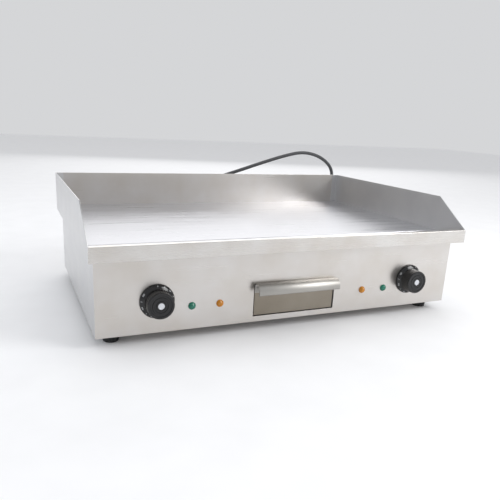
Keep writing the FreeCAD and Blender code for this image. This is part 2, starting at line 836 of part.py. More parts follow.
def knob(side, sign):
    """Turned moulding: a bevelled skirt, a fluted grip, a hollow back and a seat for the cap."""
    body = new_body(f"knob_{side}")
    skirt = "skirt_diameter / 2"
    grip = "grip_diameter / 2"
    hub = "hub_diameter / 2"
    cap = "cap_diameter / 2 + cap_gap"
    bore = "shaft_diameter / 2 + press_gap"
    revolve(body, [
        (bore, "-knob_gap"),
        (hub, "-knob_gap"),
        (hub, "-back_depth"),
        (f"{grip} + overlap", "-back_depth"),
        (f"{grip} + overlap", "-knob_gap"),
        (skirt, "-knob_gap"),
        (skirt, "-skirt_edge"),
        (f"{grip} + skirt_step", "-skirt_top"),
        (grip, "-grip_start"),
        (grip, "-knob_height + grip_chamfer"),
        (f"{grip} - grip_chamfer", "-knob_height"),
        (cap, "-knob_height"),
        (cap, "-knob_height + cap_seat"),
        ("0", "-knob_height + cap_seat"),
        ("0", "-knob_height + shaft_end"),
        (bore, "-knob_height + shaft_end"),
    ], "XY_Plane")
    flute = new_sketch(body, "XZ_Plane")
    draw_circle(flute, "0", f"{grip} + flute_offset", "flute_diameter")
    flute.setExpression("AttachmentOffset.Base.z", in_sheet("flute_start"))
    groove = pocket(body, flute, "knob_height", reverse=True)
    flutes = body.newObject("PartDesign::PolarPattern", f"knob_{side}_flutes")
    flutes.Originals = [groove]
    flutes.Axis = (flute, ["N_Axis"])
    flutes.Angle = 360
    flutes.Occurrences = FLUTES
    body.Tip = flutes
    mark = new_sketch(body, "XZ_Plane")
    draw_rectangle(mark, ("-mark_width / 2", "mark_width / 2"),
                   (f"{grip} - mark_length", f"{grip} + overlap"))
    mark.setExpression("AttachmentOffset.Base.z", in_sheet("knob_height - mark_depth"))
    pocket(body, mark, "mark_depth + overlap", reverse=True)
    return place(body, f"{sign} * knob_x", "casing_front", "knob_z")


def knob_set(side, sign):
    """Knob, its bright cap and the thermostat shaft that it turns."""
    x = f"{sign} * knob_x"
    cap = rod(f"knob_cap_{side}", "cap_diameter", "cap_height", x,
              "casing_front - knob_height + cap_seat", "knob_z", along="-y")
    shaft = rod(f"thermostat_shaft_{side}", "shaft_diameter", "knob_height - shaft_end + shaft_depth",
                x, "casing_front + shaft_depth", "knob_z", along="-y")
    return knob(side, sign), cap, shaft


def thermostat(side, sign):
    """Capillary thermostat behind the panel: a block with a bored bush that holds the shaft."""
    x = f"{sign} * knob_x"
    behind = "casing_front + casing_sheet"
    case = block(f"thermostat_case_{side}",
                 (x + " - thermostat_width / 2", x + " + thermostat_width / 2"),
                 (behind, behind + " + thermostat_depth"),
                 ("knob_z - thermostat_height / 2", "knob_z + thermostat_height / 2"))
    bush = rod(f"thermostat_bush_{side}", "bush_diameter", "casing_sheet + overlap", x,
               behind + " + overlap", "knob_z", along="-y")
    back = behind + " + thermostat_depth"
    tabs = [block(f"thermostat_tab_{side}_{i}",
                  (f"{x} + {step} * tab_pitch - tab_width / 2",
                   f"{x} + {step} * tab_pitch + tab_width / 2"),
                  (back + " - overlap", back + " + tab_length"),
                  ("knob_z + tab_rise", "knob_z + tab_rise + tab_thickness"))
            for i, step in enumerate((-1, 0, 1))]
    bore = rod(f"thermostat_bore_{side}", "shaft_diameter + 2 * running_gap",
               "shaft_depth + 2 * overlap", x, "casing_front + shaft_depth + overlap", "knob_z",
               along="-y")
    screw_holes = [rod(f"thermostat_hole_{side}_{i}", "control_screw", "control_screw_length",
                       f"{x} + {step} * thermostat_hole_pitch / 2", behind + " - overlap", "knob_z",
                       along="y") for i, step in enumerate((-1, 1))]
    whole = fuse(f"thermostat_whole_{side}", case, bush, *tabs)
    return cut(f"thermostat_{side}", whole, bore, *screw_holes)


def thermostat_screws():
    screws = []
    for side, sign in SIDES.items():
        for i, step in enumerate((-1, 1)):
            x = f"{sign} * knob_x + {step} * thermostat_hole_pitch / 2"
            head = rod(f"thermostat_screw_head_{side}_{i}", "control_head_diameter",
                       "control_head_height", x, "casing_front", "knob_z", along="-y")
            shank = rod(f"thermostat_screw_shank_{side}_{i}", "control_screw", "control_screw_length",
                        x, "casing_front - overlap / 2", "knob_z", along="y")
            screws.append(fuse(f"thermostat_screw_{side}_{i}", head, shank))
    return group("thermostat_screws", screws)


def sensing_bulb(side, sign):
    """Bulb clipped under the plate between heater runs, and its capillary to the thermostat."""
    under = dims.plate_top - dims.plate_thickness - dims.bulb_drop
    x = sign * (dims.heater_first_x + 1.5 * dims.heater_pitch)
    front = dims.casing_front
    top = dims.knob_z + dims.thermostat_height / 2
    start = dims.bulb_front
    route = [
        (x, start, under),
        (x, start - 32, under),
        (x, start - 48, under - 11),
        (x, front + 38, under - 11),
        (sign * dims.knob_x, front + 20, top + 18),
        (sign * dims.knob_x, front + 20, top),
    ]
    capillary = tube(rounded_path(route, [8, 8, 12, 8]), dims.capillary_diameter)
    bulb = Part.makeCylinder(dims.bulb_diameter / 2, dims.bulb_length,
                             FreeCAD.Vector(x, start, under), FreeCAD.Vector(0, 1, 0))
    return shaped(f"sensing_bulb_{side}", bulb.fuse(capillary))


# ---- pilot lamps --------------------------------------------------------------------------------

def lamp_lens(name, x):
    """Short domed lens that stands on the panel's face."""
    body = new_body(name)
    circle = new_sketch(body, "XZ_Plane")
    draw_circle(circle, "0", "0", "lens_diameter")
    pad(body, circle, "lens_height")
    round_edges(body, "lens_height * lens_rounding",
                lambda edge: edge.BoundBox.YMin < -dims.lens_height + 0.01
                and edge.BoundBox.YLength < 0.01)
    return place(body, x, "casing_front", "lamp_z")


def lamps():
    lenses, bodies, clips = [], [], []
    for side, sign in SIDES.items():
        for colour in ("green", "amber"):
            x = f"{sign} * {colour}_x"
            tag = f"{colour}_{side}"
            lenses.append(lamp_lens(f"lamp_lens_{tag}", x))
            bodies.append(rod(f"lamp_body_{tag}", "lamp_body_diameter", "lamp_body_length", x,
                              "casing_front", "lamp_z", along="y"))
            ring = rod(f"lamp_clip_blank_{tag}", "clip_diameter", "clip_thickness", x,
                       "casing_front + casing_sheet", "lamp_z", along="y")
            bore = rod(f"lamp_clip_bore_{tag}", "lamp_body_diameter", "lamp_body_length", x, "casing_front",
                       "lamp_z", along="y")
            clips.append(cut(f"lamp_clip_{tag}", ring, bore))
    return lenses, group("lamp_bodies", bodies), group("lamp_clips", clips)


# ---- heating ------------------------------------------------------------------------------------

def heater(side, sign):
    """Tubular element in four runs under the plate, both ends turned down at the front."""
    level = dims.plate_top - dims.plate_thickness - dims.heater_diameter / 2 - dims.heater_gap
    bend = dims.heater_pitch / 2
    ends_front = dims.heater_end_y
    ends_bottom = dims.heater_end_z
    end_bend = dims.heater_end_bend
    columns = [sign * (dims.heater_first_x + i * dims.heater_pitch) for i in range(4)]
    back = dims.heater_back + bend
    front = dims.heater_front - bend
    route = [(columns[0], ends_front, ends_bottom), (columns[0], ends_front, level)]
    for i, turn_y in enumerate((back, front, back)):
        route += [(columns[i], turn_y, level), (columns[i + 1], turn_y, level)]
    route += [(columns[3], ends_front, level), (columns[3], ends_front, ends_bottom)]
    radii = [end_bend] + [bend] * 6 + [end_bend]
    return shaped(f"heater_{side}", tube(rounded_path(route, radii), dims.heater_diameter))


def heater_clamps():
    """Two flat bars a side hold the elements up; studs on the plate carry them with a nut each."""
    studs, nuts, clamps = [], [], []
    clamp_top = "plate_top - plate_thickness - heater_diameter - heater_gap"
    for side, sign in SIDES.items():
        for end in ("front", "back"):
            y = f"clamp_{end}_y"
            span = sorted((sign * dims.clamp_inner_x, sign * dims.clamp_outer_x))
            tag = f"{end}_{side}"
            bar = block(f"clamp_bar_{tag}", (str(span[0]), str(span[1])),
                        (y + " - clamp_width / 2", y + " + clamp_width / 2"),
                        (clamp_top + " - clamp_thickness", clamp_top))
            holes = []
            for i, step in enumerate((0.5, 2.5)):
                x = f"{sign} * (heater_first_x + {step} * heater_pitch)"
                studs.append(rod(f"plate_stud_{tag}_{i}", "stud_diameter",
                                 "plate_top - plate_thickness - stud_bottom", x, y, "stud_bottom"))
                holes.append(rod(f"clamp_hole_{tag}_{i}", "clamp_hole", "3 * clamp_thickness", x, y,
                                 clamp_top + " - 2 * clamp_thickness"))
                blank = hexagon(f"clamp_nut_blank_{tag}_{i}", "clamp_nut_flats", "clamp_nut_height",
                                x, y, clamp_top + " - clamp_thickness - clamp_nut_height")
                bore = rod(f"clamp_nut_bore_{tag}_{i}", "stud_diameter + thread_gap",
                           "4 * clamp_nut_height", x, y, "stud_bottom - clamp_nut_height")
                nuts.append(cut(f"clamp_nut_{tag}_{i}", blank, bore))
            clamps.append(cut(f"heater_clamp_{tag}", bar, *holes))
    return group("heater_clamps", clamps), group("plate_studs", studs), group("clamp_nuts", nuts)


def heat_shield():
    """Folded sheet under the elements, welded to the side walls by its turned-up edges."""
    wall = "casing_width / 2 - casing_sheet - corner_gap"
    y = ("shield_front", "shield_back")
    floor = block("heat_shield_floor", (f"-({wall})", wall), y, ("shield_z", "shield_z + casing_sheet"))
    lips = [block(f"heat_shield_lip_{side}", (low, high), y, ("shield_z", "shield_z + shield_lip"))
            for side, (low, high) in {"left": (f"-({wall})", f"-({wall}) + casing_sheet"),
                                      "right": (f"{wall} - casing_sheet", wall)}.items()]
    return fuse("heat_shield", floor, *lips)


def insulation():
    """Mineral wool slab that lies in the heat shield."""
    wall = "casing_width / 2 - 2 * casing_sheet - insulation_gap"
    return block("insulation", (f"-({wall})", wall),
                 ("shield_front + insulation_inset", "shield_back - insulation_inset"),
                 ("shield_z + casing_sheet", "shield_z + casing_sheet + insulation_thickness"))


# ---- electrics ----------------------------------------------------------------------------------

BLOCK_X = (250, 298)
BLOCK_Y = (168, 190)
BLOCK_HEIGHT = 22
TERMINALS = 4


def terminal_block():
    """Ceramic block on the base where the supply meets the wiring, with its clamping screws."""
    base = dims.casing_bottom + 2 * dims.casing_sheet
    case = block("terminal_case", tuple(str(x) for x in BLOCK_X), tuple(str(y) for y in BLOCK_Y),
                 (str(base), str(base + BLOCK_HEIGHT)))
    pitch = (BLOCK_X[1] - BLOCK_X[0]) / TERMINALS
    wells, screws = [], []
    for i in range(TERMINALS):
        x = str(BLOCK_X[0] + pitch * (i + 0.5))
        y = str(sum(BLOCK_Y) / 2)
        bottom = f"{base + BLOCK_HEIGHT} - terminal_depth"
        wells.append(rod(f"terminal_well_{i}", "terminal_well", "terminal_depth + overlap", x, y,
                         bottom))
        screws.append(rod(f"terminal_screw_{i}", "terminal_screw", "terminal_screw_length", x, y,
                          bottom))
    return cut("terminal_block", case, *wells), group("terminal_screws", screws)


def wiring(side, sign):
    """Sleeved wires on one side: supply to the thermostat, thermostat to heater ends and lamps."""
    behind = dims.casing_front + dims.casing_sheet + dims.thermostat_depth
    knob_x = sign * dims.knob_x
    base = dims.casing_bottom + 2 * dims.casing_sheet + 5
    block_face = BLOCK_Y[0]
    start_x = BLOCK_X[0] + (8 if sign < 0 else 30)
    supply = [(start_x, block_face, base + 6), (start_x, block_face - 20, base + 6)]
    if sign < 0:
        supply += [(start_x, block_face - 40, base), (knob_x - 30, block_face - 44, base)]
    supply += [(knob_x - 30, behind + 26, base), (knob_x, behind + 22, dims.knob_z - 9),
               (knob_x, behind, dims.knob_z - 9)]
    runs = [tube(rounded_path(supply, [6] * (len(supply) - 2)), 4)]
    lamp_back = dims.casing_front + dims.lamp_body_length
    for i, lamp_x in enumerate((dims.green_x, dims.amber_x)):
        drop = 34 - 8 * i
        leave = knob_x - sign * (8 + 6 * i)
        route = [(leave, behind, dims.knob_z - 3), (leave, behind + 10 + 6 * i, dims.knob_z - 3),
                 (sign * lamp_x, lamp_back + 12 + 6 * i, dims.knob_z - drop),
                 (sign * lamp_x, lamp_back + 8, dims.lamp_z), (sign * lamp_x, lamp_back, dims.lamp_z)]
        runs.append(tube(rounded_path(route, [3, 3, 2]), 2.4))
    return shaped(f"wiring_{side}", Part.makeCompound(runs))


def bonding_stud():
    """Threaded stud on the rear wall for a bonding lead, with its fixing nut."""
    shank = rod("bonding_stud_shank", "bond_diameter", "bond_length", "-gland_x",
                "casing_back - bond_inside", "gland_z", along="y")
    collar = hexagon("bonding_stud_collar", "bond_nut_flats", "bond_nut_height", "-gland_x",
                     "casing_back", "gland_z", along="y")
    inner = hexagon("bonding_stud_inner", "bond_nut_flats", "bond_nut_height", "-gland_x",
                    "casing_back - casing_sheet", "gland_z", along="-y")
    return fuse("bonding_stud", shank, collar, inner)


def cable_gland():
    """Nylon gland through the rear wall, its locknut inside, and the tapered boot on the cord."""
    spot = ("gland_x", "casing_back", "gland_z")
    flange = hexagon("gland_collar", "gland_flats", "gland_flange", *spot, along="y")
    thread = rod("gland_barrel", "gland_thread", "gland_thread_length", *spot, along="-y")
    nose = doc.addObject("Part::Cone", "gland_tip")
    bind(nose, Radius1="gland_flats / 2 - gland_chamfer",
         Radius2="cord_diameter / 2 + gland_nose_wall",
         Height="gland_nose - casing_back - gland_flange")
    place(turn(nose, "y"), "gland_x", "casing_back + gland_flange", "gland_z")
    bore = rod("gland_bore", "cord_diameter", "2 * gland_thread_length + boot_end - casing_back",
               "gland_x", "casing_back - 2 * gland_thread_length", "gland_z", along="y")
    gland = cut("cable_gland", fuse("gland_whole", flange, thread, nose), bore)
    ring = hexagon("locknut_blank", "gland_flats", "locknut_height", "gland_x",
                   "casing_back - casing_sheet", "gland_z", along="-y")
    hole = rod("locknut_bore", "gland_thread + thread_gap", "2 * gland_thread_length", "gland_x",
               "casing_back", "gland_z", along="-y")
    boot = doc.addObject("Part::Cone", "cord_boot")
    bind(boot, Radius1="cord_diameter / 2 + boot_wall", Radius2="cord_diameter / 2 + boot_end_wall",
         Height="boot_end - gland_nose")
    place(turn(boot, "y"), "gland_x", "gland_nose", "gland_z")
    return gland, cut("gland_locknut", ring, hole), boot


# ---- power cord ---------------------------------------------------------------------------------

# The cord leaves the boot to the back, arches up beside the corner and over behind the back guard,
# then drops to the counter where the put-away coil lies.
CORD_ROUTE = [
    (318, 275, 60),
    (318, 305, 60),
    (330, 331, 71),
    (351, 346, 94),
    (383, 343, 127),
    (405, 337, 178),
    (410, 332, 233),
    (369, 331, 269),
    (306, 330, 284.5),
    (240, 331, 270),
    (170, 332, 248.5),
    (104, 333, 227),
    (46, 335, 209),
    (-4, 337, 176),
    (-42, 339, 131),
    (-78, 342, 84),
    (-114, 349, 40),
    (-150, 358, 14),
    (-182, 362.5, 4.5),
    (-205, 363.5, 4.5),
]


def power_cord():
    """The uncoiled stretch: straight runs joined by the largest tangent arcs that fit."""
    points = [FreeCAD.Vector(*point) for point in CORD_ROUTE]
    radii = []
    for before, corner, after in zip(points, points[1:], points[2:]):
        shorter = min((corner - before).Length, (after - corner).Length)
        bend = (corner - before).getAngle(after - corner)
        radii.append(0.45 * shorter / math.tan(bend / 2))
    path = rounded_path(points, radii)
    solid = tube(path, dims.cord_diameter)
    expected = path.Length * math.pi * dims.cord_diameter ** 2 / 4
    print("cord: length", round(path.Length), "mm, radii", [round(radius) for radius in radii])
    print("cord: volume over section times length", round(solid.Volume / expected, 4))
    return shaped("power_cord", solid)


def cord_coil():
    """Outer shape of the wound turns, one closed ring that lies on the counter."""
    outer = rod("coil_outer", "2 * coil_radius + coil_build", "coil_build", "coil_x", "coil_y", "0")
    inner = rod("coil_inner", "2 * coil_radius - coil_build", "coil_build + 2 * overlap",
                "coil_x", "coil_y", "-overlap")
    ring = cut("coil_ring", outer, inner)
    doc.recompute()
    rounded = doc.addObject("Part::Fillet", "cord_coil")
    rounded.Base = ring
    rounding = dims.coil_rounding
    rounded.Edges = [(i, rounding, rounding) for i, edge in enumerate(ring.Shape.Edges, start=1)
                     if edge.BoundBox.ZLength < 0.01]
    return rounded


def plug():
    """Two-pin plug that lies beside the coil: a tapered sleeve, a round grip and the pins."""
    y = "coil_y + coil_radius"
    sleeve = doc.addObject("Part::Cone", "plug_sleeve")
    bind(sleeve, Radius1="cord_diameter / 2 + plug_sleeve_wall",
         Radius2="cord_diameter / 2 + plug_sleeve_end_wall", Height="plug_sleeve_length")
    sleeve.Placement.Rotation = FreeCAD.Rotation(FreeCAD.Vector(0, 1, 0), -90)
    place(sleeve, "plug_tail_x", y, "plug_z")
    face = "plug_tail_x - plug_sleeve_length - plug_length"
    grip = rod("plug_grip", "plug_diameter", "plug_length", face, y, "plug_z", along="x")
    pins = [rod(f"plug_pin_{i}", "pin_diameter", "pin_length", f"{face} - pin_length",
                f"{y} + {step} * pin_spread", "plug_z", along="x") for i, step in enumerate((-1, 1))]
    return fuse("plug", sleeve, grip), group("plug_pins", pins)


# ---- the whole machine --------------------------------------------------------------------------

def build():
    left_guard = piece(splash_guard_left())
    piece(mirrored("splash_right", left_guard))
    piece(splash_guard_back())
    piece(front_trim())
    piece(griddle_plate())
    for item in grease_gutter():
        piece(item)

    piece(front_panel())
    piece(rear_panel())
    piece(base_panel())
    left_wall = piece(side_panel_left())
    piece(mirrored("side_panel_right", left_wall))
    made_feet, foot_screws, foot_nuts = feet()
    for item in made_feet + [foot_screws, foot_nuts, rear_screws()]:
        piece(item)

    left_rail = piece(drawer_rail_left())
    piece(mirrored("drawer_rail_right", left_rail))
    for item in (drawer_front(), drawer_tray(), drawer_handle()):
        piece(item)

    for side, sign in SIDES.items():
        for item in knob_set(side, sign):
            piece(item)
        piece(thermostat(side, sign))
        piece(sensing_bulb(side, sign))
        piece(heater(side, sign))
        piece(wiring(side, sign))
    piece(thermostat_screws())
    lenses, lamp_bodies, lamp_clips = lamps()
    for item in lenses + [lamp_bodies, lamp_clips]:
        piece(item)

    for item in heater_clamps() + terminal_block() + cable_gland() + plug():
        piece(item)
    for item in (heat_shield(), insulation(), bonding_stud(), power_cord(), cord_coil()):
        piece(item)


def check():
    """Stop if anything in the document failed or a finished piece is not a sound solid."""
    doc.recompute()
    for item in doc.Objects:
        if any(state in ("Invalid", "Error") for state in item.State):
            raise RuntimeError(f"{item.Name} failed: {item.State}")
    for item in pieces:
        shape = item.Shape
        if shape.isNull() or not shape.isValid() or not shape.Solids or shape.Volume <= 0:
            raise RuntimeError(f"{item.Label} has no sound shape")


def write():
    os.makedirs("parts", exist_ok=True)
    for item in pieces:
        item.Shape.exportStep(f"parts/{item.Label}.step")
        print(f"{item.Label}: {len(item.Shape.Solids)} solid(s)")
    print(len(pieces), "nodes")


build()
check()
write()
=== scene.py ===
# %% [markdown]
# # A counter-top griddle, one step at a time
# The machine is a box of brushed stainless sheet under a thick steel plate with splash guards.
# Its design is already fixed in a CAD frame: that gives every place and size. What is left to do
# here is how it looks: finishes, the moulded and turned pieces, the cord, and studio light.

# %% Load the frame
import math

import bpy
from mathutils import Matrix, Vector


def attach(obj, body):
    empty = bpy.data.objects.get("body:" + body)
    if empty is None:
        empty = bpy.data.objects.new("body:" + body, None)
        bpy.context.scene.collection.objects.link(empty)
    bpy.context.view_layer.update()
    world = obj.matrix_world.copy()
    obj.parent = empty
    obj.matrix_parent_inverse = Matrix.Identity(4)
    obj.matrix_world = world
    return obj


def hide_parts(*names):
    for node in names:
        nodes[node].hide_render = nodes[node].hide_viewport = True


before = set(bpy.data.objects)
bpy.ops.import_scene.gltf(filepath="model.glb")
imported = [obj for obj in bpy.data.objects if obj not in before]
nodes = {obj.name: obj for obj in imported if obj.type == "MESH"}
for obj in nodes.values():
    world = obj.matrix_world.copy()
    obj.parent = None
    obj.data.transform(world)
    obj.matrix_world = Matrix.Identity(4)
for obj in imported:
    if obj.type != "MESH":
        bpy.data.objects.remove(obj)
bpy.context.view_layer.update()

MM = 0.001

# %% [markdown]
# ## The camera
# The view is from the left and from a little above the guards. The camera looks down by sixteen
# degrees and leans by about three, and its picture is shifted a little, as with a view camera.

# %% Camera
CAMERA_PLACE = (-0.4684, -1.0227, 0.3655)
CAMERA_HEADING = math.radians(24.914)
CAMERA_DROP = math.radians(16.248)
CAMERA_LEAN = math.radians(3.107)
CAMERA_SENSOR, CAMERA_LENS = 36, 38.73
CAMERA_SHIFT = 0.051
CAMERA_CLIP = 0.05

bpy.ops.object.select_all(action="DESELECT")
bpy.ops.object.camera_add(location=CAMERA_PLACE)
camera = bpy.context.object
camera.name = "studio_camera"
turn = (Matrix.Rotation(-CAMERA_HEADING, 4, "Z")
        @ Matrix.Rotation(math.pi / 2 - CAMERA_DROP, 4, "X")
        @ Matrix.Rotation(CAMERA_LEAN, 4, "Z"))
camera.rotation_euler = turn.to_euler()
camera.data.sensor_width = CAMERA_SENSOR
camera.data.lens = CAMERA_LENS
camera.data.shift_y = CAMERA_SHIFT
camera.data.clip_start = CAMERA_CLIP
bpy.context.scene.camera = camera
print("camera looks", [round(number, 3) for number in turn @ Vector((0, 0, -1))])

# %% [markdown]
# ## The power cord
# A rubber mains cord 9 mm thick is stiff enough to stand in an arch. One NURBS curve follows the
# same route as the frame's tube, so it has no corners, and its last points wind a coil on the
# counter for the length that is put away.

# %% Cord route
CORD_DIAMETER = 9 * MM
CORD_ROUTE = [
    (318, 275, 60),
    (318, 305, 60),
    (330, 331, 71),
    (351, 346, 94),
    (383, 343, 127),
    (405, 337, 178),
    (410, 332, 233),
    (369, 331, 269),
    (306, 330, 284.5),
    (240, 331, 270),
    (170, 332, 248.5),
    (104, 333, 227),
    (46, 335, 209),
    (-4, 337, 176),
    (-42, 339, 131),
    (-78, 342, 84),
    (-114, 349, 40),
    (-150, 358, 14),
    (-182, 362.5, 4.5),
]
COIL_CENTRE = (-205, 309)
COIL_TURNS = 3
POINTS_PER_TURN = 14
COIL_START, COIL_INWARDS = 55.5, 10.5
COIL_RADIUS, COIL_OUTWARDS = 45, 5
CORD_REST = 4.5
COIL_RISE, RISE_START = 9.2, 1.75
WIDEN_TURNS = 0.5


def coil_points():
    """Three turns: one winds inwards on the counter, one rises, and one lies on top."""
    points = []
    for step in range(COIL_TURNS * POINTS_PER_TURN + 1):
        turns = step / POINTS_PER_TURN
        if turns <= 1:
            radius, height = COIL_START - COIL_INWARDS * turns, CORD_REST
        elif turns <= 2:
            radius = COIL_RADIUS
            height = CORD_REST + COIL_RISE * max(0.0, turns - RISE_START) / (2 - RISE_START)
        else:
            radius = COIL_RADIUS + COIL_OUTWARDS * min(1.0, (turns - 2) / WIDEN_TURNS)
            height = CORD_REST + COIL_RISE
        angle = math.radians(90) + 2 * math.pi * turns
        points.append((COIL_CENTRE[0] + radius * math.cos(angle),
                       COIL_CENTRE[1] + radius * math.sin(angle), height))
    return points


PLUG_TAIL = (-236, 359, 18.5)
TAIL = [(-222, 359, 15.5), PLUG_TAIL]


def nurbs_cord(name, route, diameter):
    """One open spline with a round section, smooth through all of its control points."""
    curve = bpy.data.curves.new(name, "CURVE")
    curve.dimensions = "3D"
    curve.bevel_depth = 1
    curve.bevel_resolution = 6
    curve.resolution_u = 8
    curve.use_fill_caps = True
    spline = curve.splines.new("NURBS")
    spline.points.add(len(route) - 1)
    for point, (x, y, z) in zip(spline.points, route):
        point.co = (x * MM, y * MM, z * MM, 1)
        point.radius = diameter / 2
    spline.order_u = 3
    spline.use_endpoint_u = True
    piece = bpy.data.objects.new(name, curve)
    bpy.context.scene.collection.objects.link(piece)
    return piece


def line_length(piece):
    """Length of a cord's own line, read from the curve without its bevel."""
    plain = piece.copy()
    plain.data = piece.data.copy()
    plain.data.bevel_depth = 0
    plain.data.use_fill_caps = False
    bpy.context.scene.collection.objects.link(plain)
    bpy.context.view_layer.update()
    graph = bpy.context.evaluated_depsgraph_get()
    mesh = bpy.data.meshes.new_from_object(plain.evaluated_get(graph))
    spots = [vertex.co.copy() for vertex in mesh.vertices]
    bpy.data.meshes.remove(mesh)
    bpy.data.objects.remove(plain)
    return sum((b - a).length for a, b in zip(spots, spots[1:]))


cord = nurbs_cord("mains_cord", CORD_ROUTE + coil_points() + TAIL, CORD_DIAMETER)
cord_length = line_length(cord)
print("cord length", round(cord_length, 3), "m")

# %% [markdown]
# ## Helpers for modelling
# An operator acts on everything that is selected, and the frame arrives selected. So each step
# starts by selecting exactly what it works on: an object, or faces found by their place.

# %% Selecting
def only(*pieces):
    """Select just these pieces and make the first one active."""
    bpy.ops.object.select_all(action="DESELECT")
    for piece in pieces:
        piece.select_set(True)
    bpy.context.view_layer.objects.active = pieces[0]


def pick(piece, kind, test):
    """Open a piece for editing with those of its faces, edges or vertices that pass a test."""
    only(piece)
    mesh = piece.data
    for parts in (mesh.vertices, mesh.edges, mesh.polygons):
        parts.foreach_set("select", [False] * len(parts))
    parts = {"VERT": mesh.vertices, "EDGE": mesh.edges, "FACE": mesh.polygons}[kind]
    for part in parts:
        part.select = test(part)
    bpy.context.tool_settings.mesh_select_mode = [kind == each for each in ("VERT", "EDGE", "FACE")]
    bpy.ops.object.mode_set(mode="EDIT")


def close(piece):
    """Leave edit mode with the normals of the whole piece pointing outwards."""
    bpy.ops.mesh.select_all(action="SELECT")
    bpy.ops.mesh.normals_make_consistent(inside=False)
    bpy.ops.object.mode_set(mode="OBJECT")
    return piece


def stand(piece, place, axis):
    """Turn a piece made upright so that its own +Z points along an axis, and put it in place."""
    turns = {"-Y": Matrix.Rotation(math.pi / 2, 4, "X"), "+Y": Matrix.Rotation(-math.pi / 2, 4, "X"),
             "-X": Matrix.Rotation(-math.pi / 2, 4, "Y"), "+Z": Matrix.Identity(4)}
    piece.matrix_world = Matrix.Translation(Vector(place)) @ turns[axis] @ piece.matrix_world
    only(piece)
    bpy.ops.object.transform_apply(location=True, rotation=True, scale=True)
    return piece


def apply(piece, kind, **settings):
    """Add a modifier with its settings and apply it at once."""
    only(piece)
    modifier = piece.modifiers.new(kind.lower(), kind)
    for key, value in settings.items():
        setattr(modifier, key, value)
    bpy.ops.object.modifier_apply(modifier=modifier.name)


def smooth(piece, degrees=35):
    """Smooth shading that keeps edges sharper than an angle crisp."""
    only(piece)
    bpy.ops.object.shade_smooth_by_angle(angle=math.radians(degrees))
    return piece


print("helpers ready")

# %% [markdown]
# Round moulded and turned pieces all start as a flat disc. Its rim is extruded up and scaled in or
# out, ring after ring, as on a lathe. A spin of a drawn profile would give the same shape, but
# the rings let each piece be read as a list of radius and height.

# %% A turned piece
def turned(name, rings, segments=48):
    """A closed round piece about +Z from (radius, height) rings in millimetres."""
    first_radius, first_height = rings[0]
    bpy.ops.object.select_all(action="DESELECT")
    bpy.ops.mesh.primitive_circle_add(vertices=segments, radius=first_radius * MM,
                                      fill_type="NGON", location=(0, 0, first_height * MM))
    piece = bpy.context.object
    piece.name = name
    bpy.ops.object.transform_apply(location=True)
    bpy.ops.object.mode_set(mode="EDIT")
    bpy.ops.mesh.select_mode(type="FACE")
    bpy.ops.mesh.select_all(action="SELECT")
    radius, height = first_radius, first_height
    for next_radius, next_height in rings[1:]:
        bpy.ops.mesh.extrude_region_move(
            TRANSFORM_OT_translate={"value": (0, 0, (next_height - height) * MM)})
        scale = next_radius / radius
        bpy.ops.transform.resize(value=(scale, scale, 1), center_override=(0, 0, next_height * MM))
        radius, height = next_radius, next_height
    return close(piece)

# %% [markdown]
# ## The knobs
# Each knob is moulded in black phenolic: a wide skirt with a sloping dial, a fluted grip, and a
# shallow seat for a metal cap. It is turned from rings of 144 points, four to a flute, so the
# flutes are made by scaling every fourth column of points inwards, and its neighbours half as far.

# %% Knob body
KNOB_AXIS_X = 256
KNOB_HEIGHT = 74
KNOB_FRONT_Y = -214.5
SKIRT_RADIUS = 29
DIAL_START, DIAL_END = (28.8, 1.9), (23.9, 5.6)
GRIP_RADIUS = 22.4
GRIP_END = 27.0
FLUTES = 36
FLUTE_DEPTH = 0.9
FLUTE_LOW, FLUTE_HIGH = 8.2, 25.2
FLUTE_INSIDE = 21
POINTS_PER_FLUTE = 4
KNOB_SEGMENTS = POINTS_PER_FLUTE * FLUTES
KNOB_RINGS = [
    (SKIRT_RADIUS, 0), (SKIRT_RADIUS, 1.5), DIAL_START, DIAL_END, (23.0, 5.9), (GRIP_RADIUS, 6.8),
    (GRIP_RADIUS, 8.6), (GRIP_RADIUS, 24.6), (22.0, 26.0), (21.0, GRIP_END), (17.8, GRIP_END),
    (17.3, 26.1), (14.6, 26.1), (14.1, 26.9), (11.4, 26.9), (10.9, 26.1), (8.6, 26.1), (8.1, 26.9),
    (6.1, 26.9), (5.6, 26.5), (5.6, 25.6),
]


def knob(name):
    """One fluted knob, its back on the ground plane and its grip pointing up."""
    piece = turned(name, KNOB_RINGS, KNOB_SEGMENTS)
    for step, depth in ((0, FLUTE_DEPTH), (1, FLUTE_DEPTH / 2), (3, FLUTE_DEPTH / 2)):
        def in_flute(vertex):
            x, y, z = vertex.co / MM
            column = round(math.atan2(y, x) / (2 * math.pi) * KNOB_SEGMENTS) % POINTS_PER_FLUTE
            return (column == step and math.hypot(x, y) > FLUTE_INSIDE
                    and FLUTE_LOW < z < FLUTE_HIGH)
        pick(piece, "VERT", in_flute)
        scale = 1 - depth / GRIP_RADIUS
        bpy.ops.transform.resize(value=(scale, scale, 1), center_override=(0, 0, 0))
        bpy.ops.object.mode_set(mode="OBJECT")
    return smooth(piece, 40)


knob_places = {"left": (-KNOB_AXIS_X * MM, KNOB_FRONT_Y * MM, KNOB_HEIGHT * MM),
               "right": (KNOB_AXIS_X * MM, KNOB_FRONT_Y * MM, KNOB_HEIGHT * MM)}
master_knob = knob("master_knob")
print("knob faces", len(master_knob.data.polygons))

# %% [markdown]
# The dial is printed on the slope of the skirt: temperatures every 50 degrees with short strokes
# between them. Text starts as a curve, becomes a mesh, and is then tilted to the slope and swung
# to its angle. The numbers are joined to one print that turns with the knob.

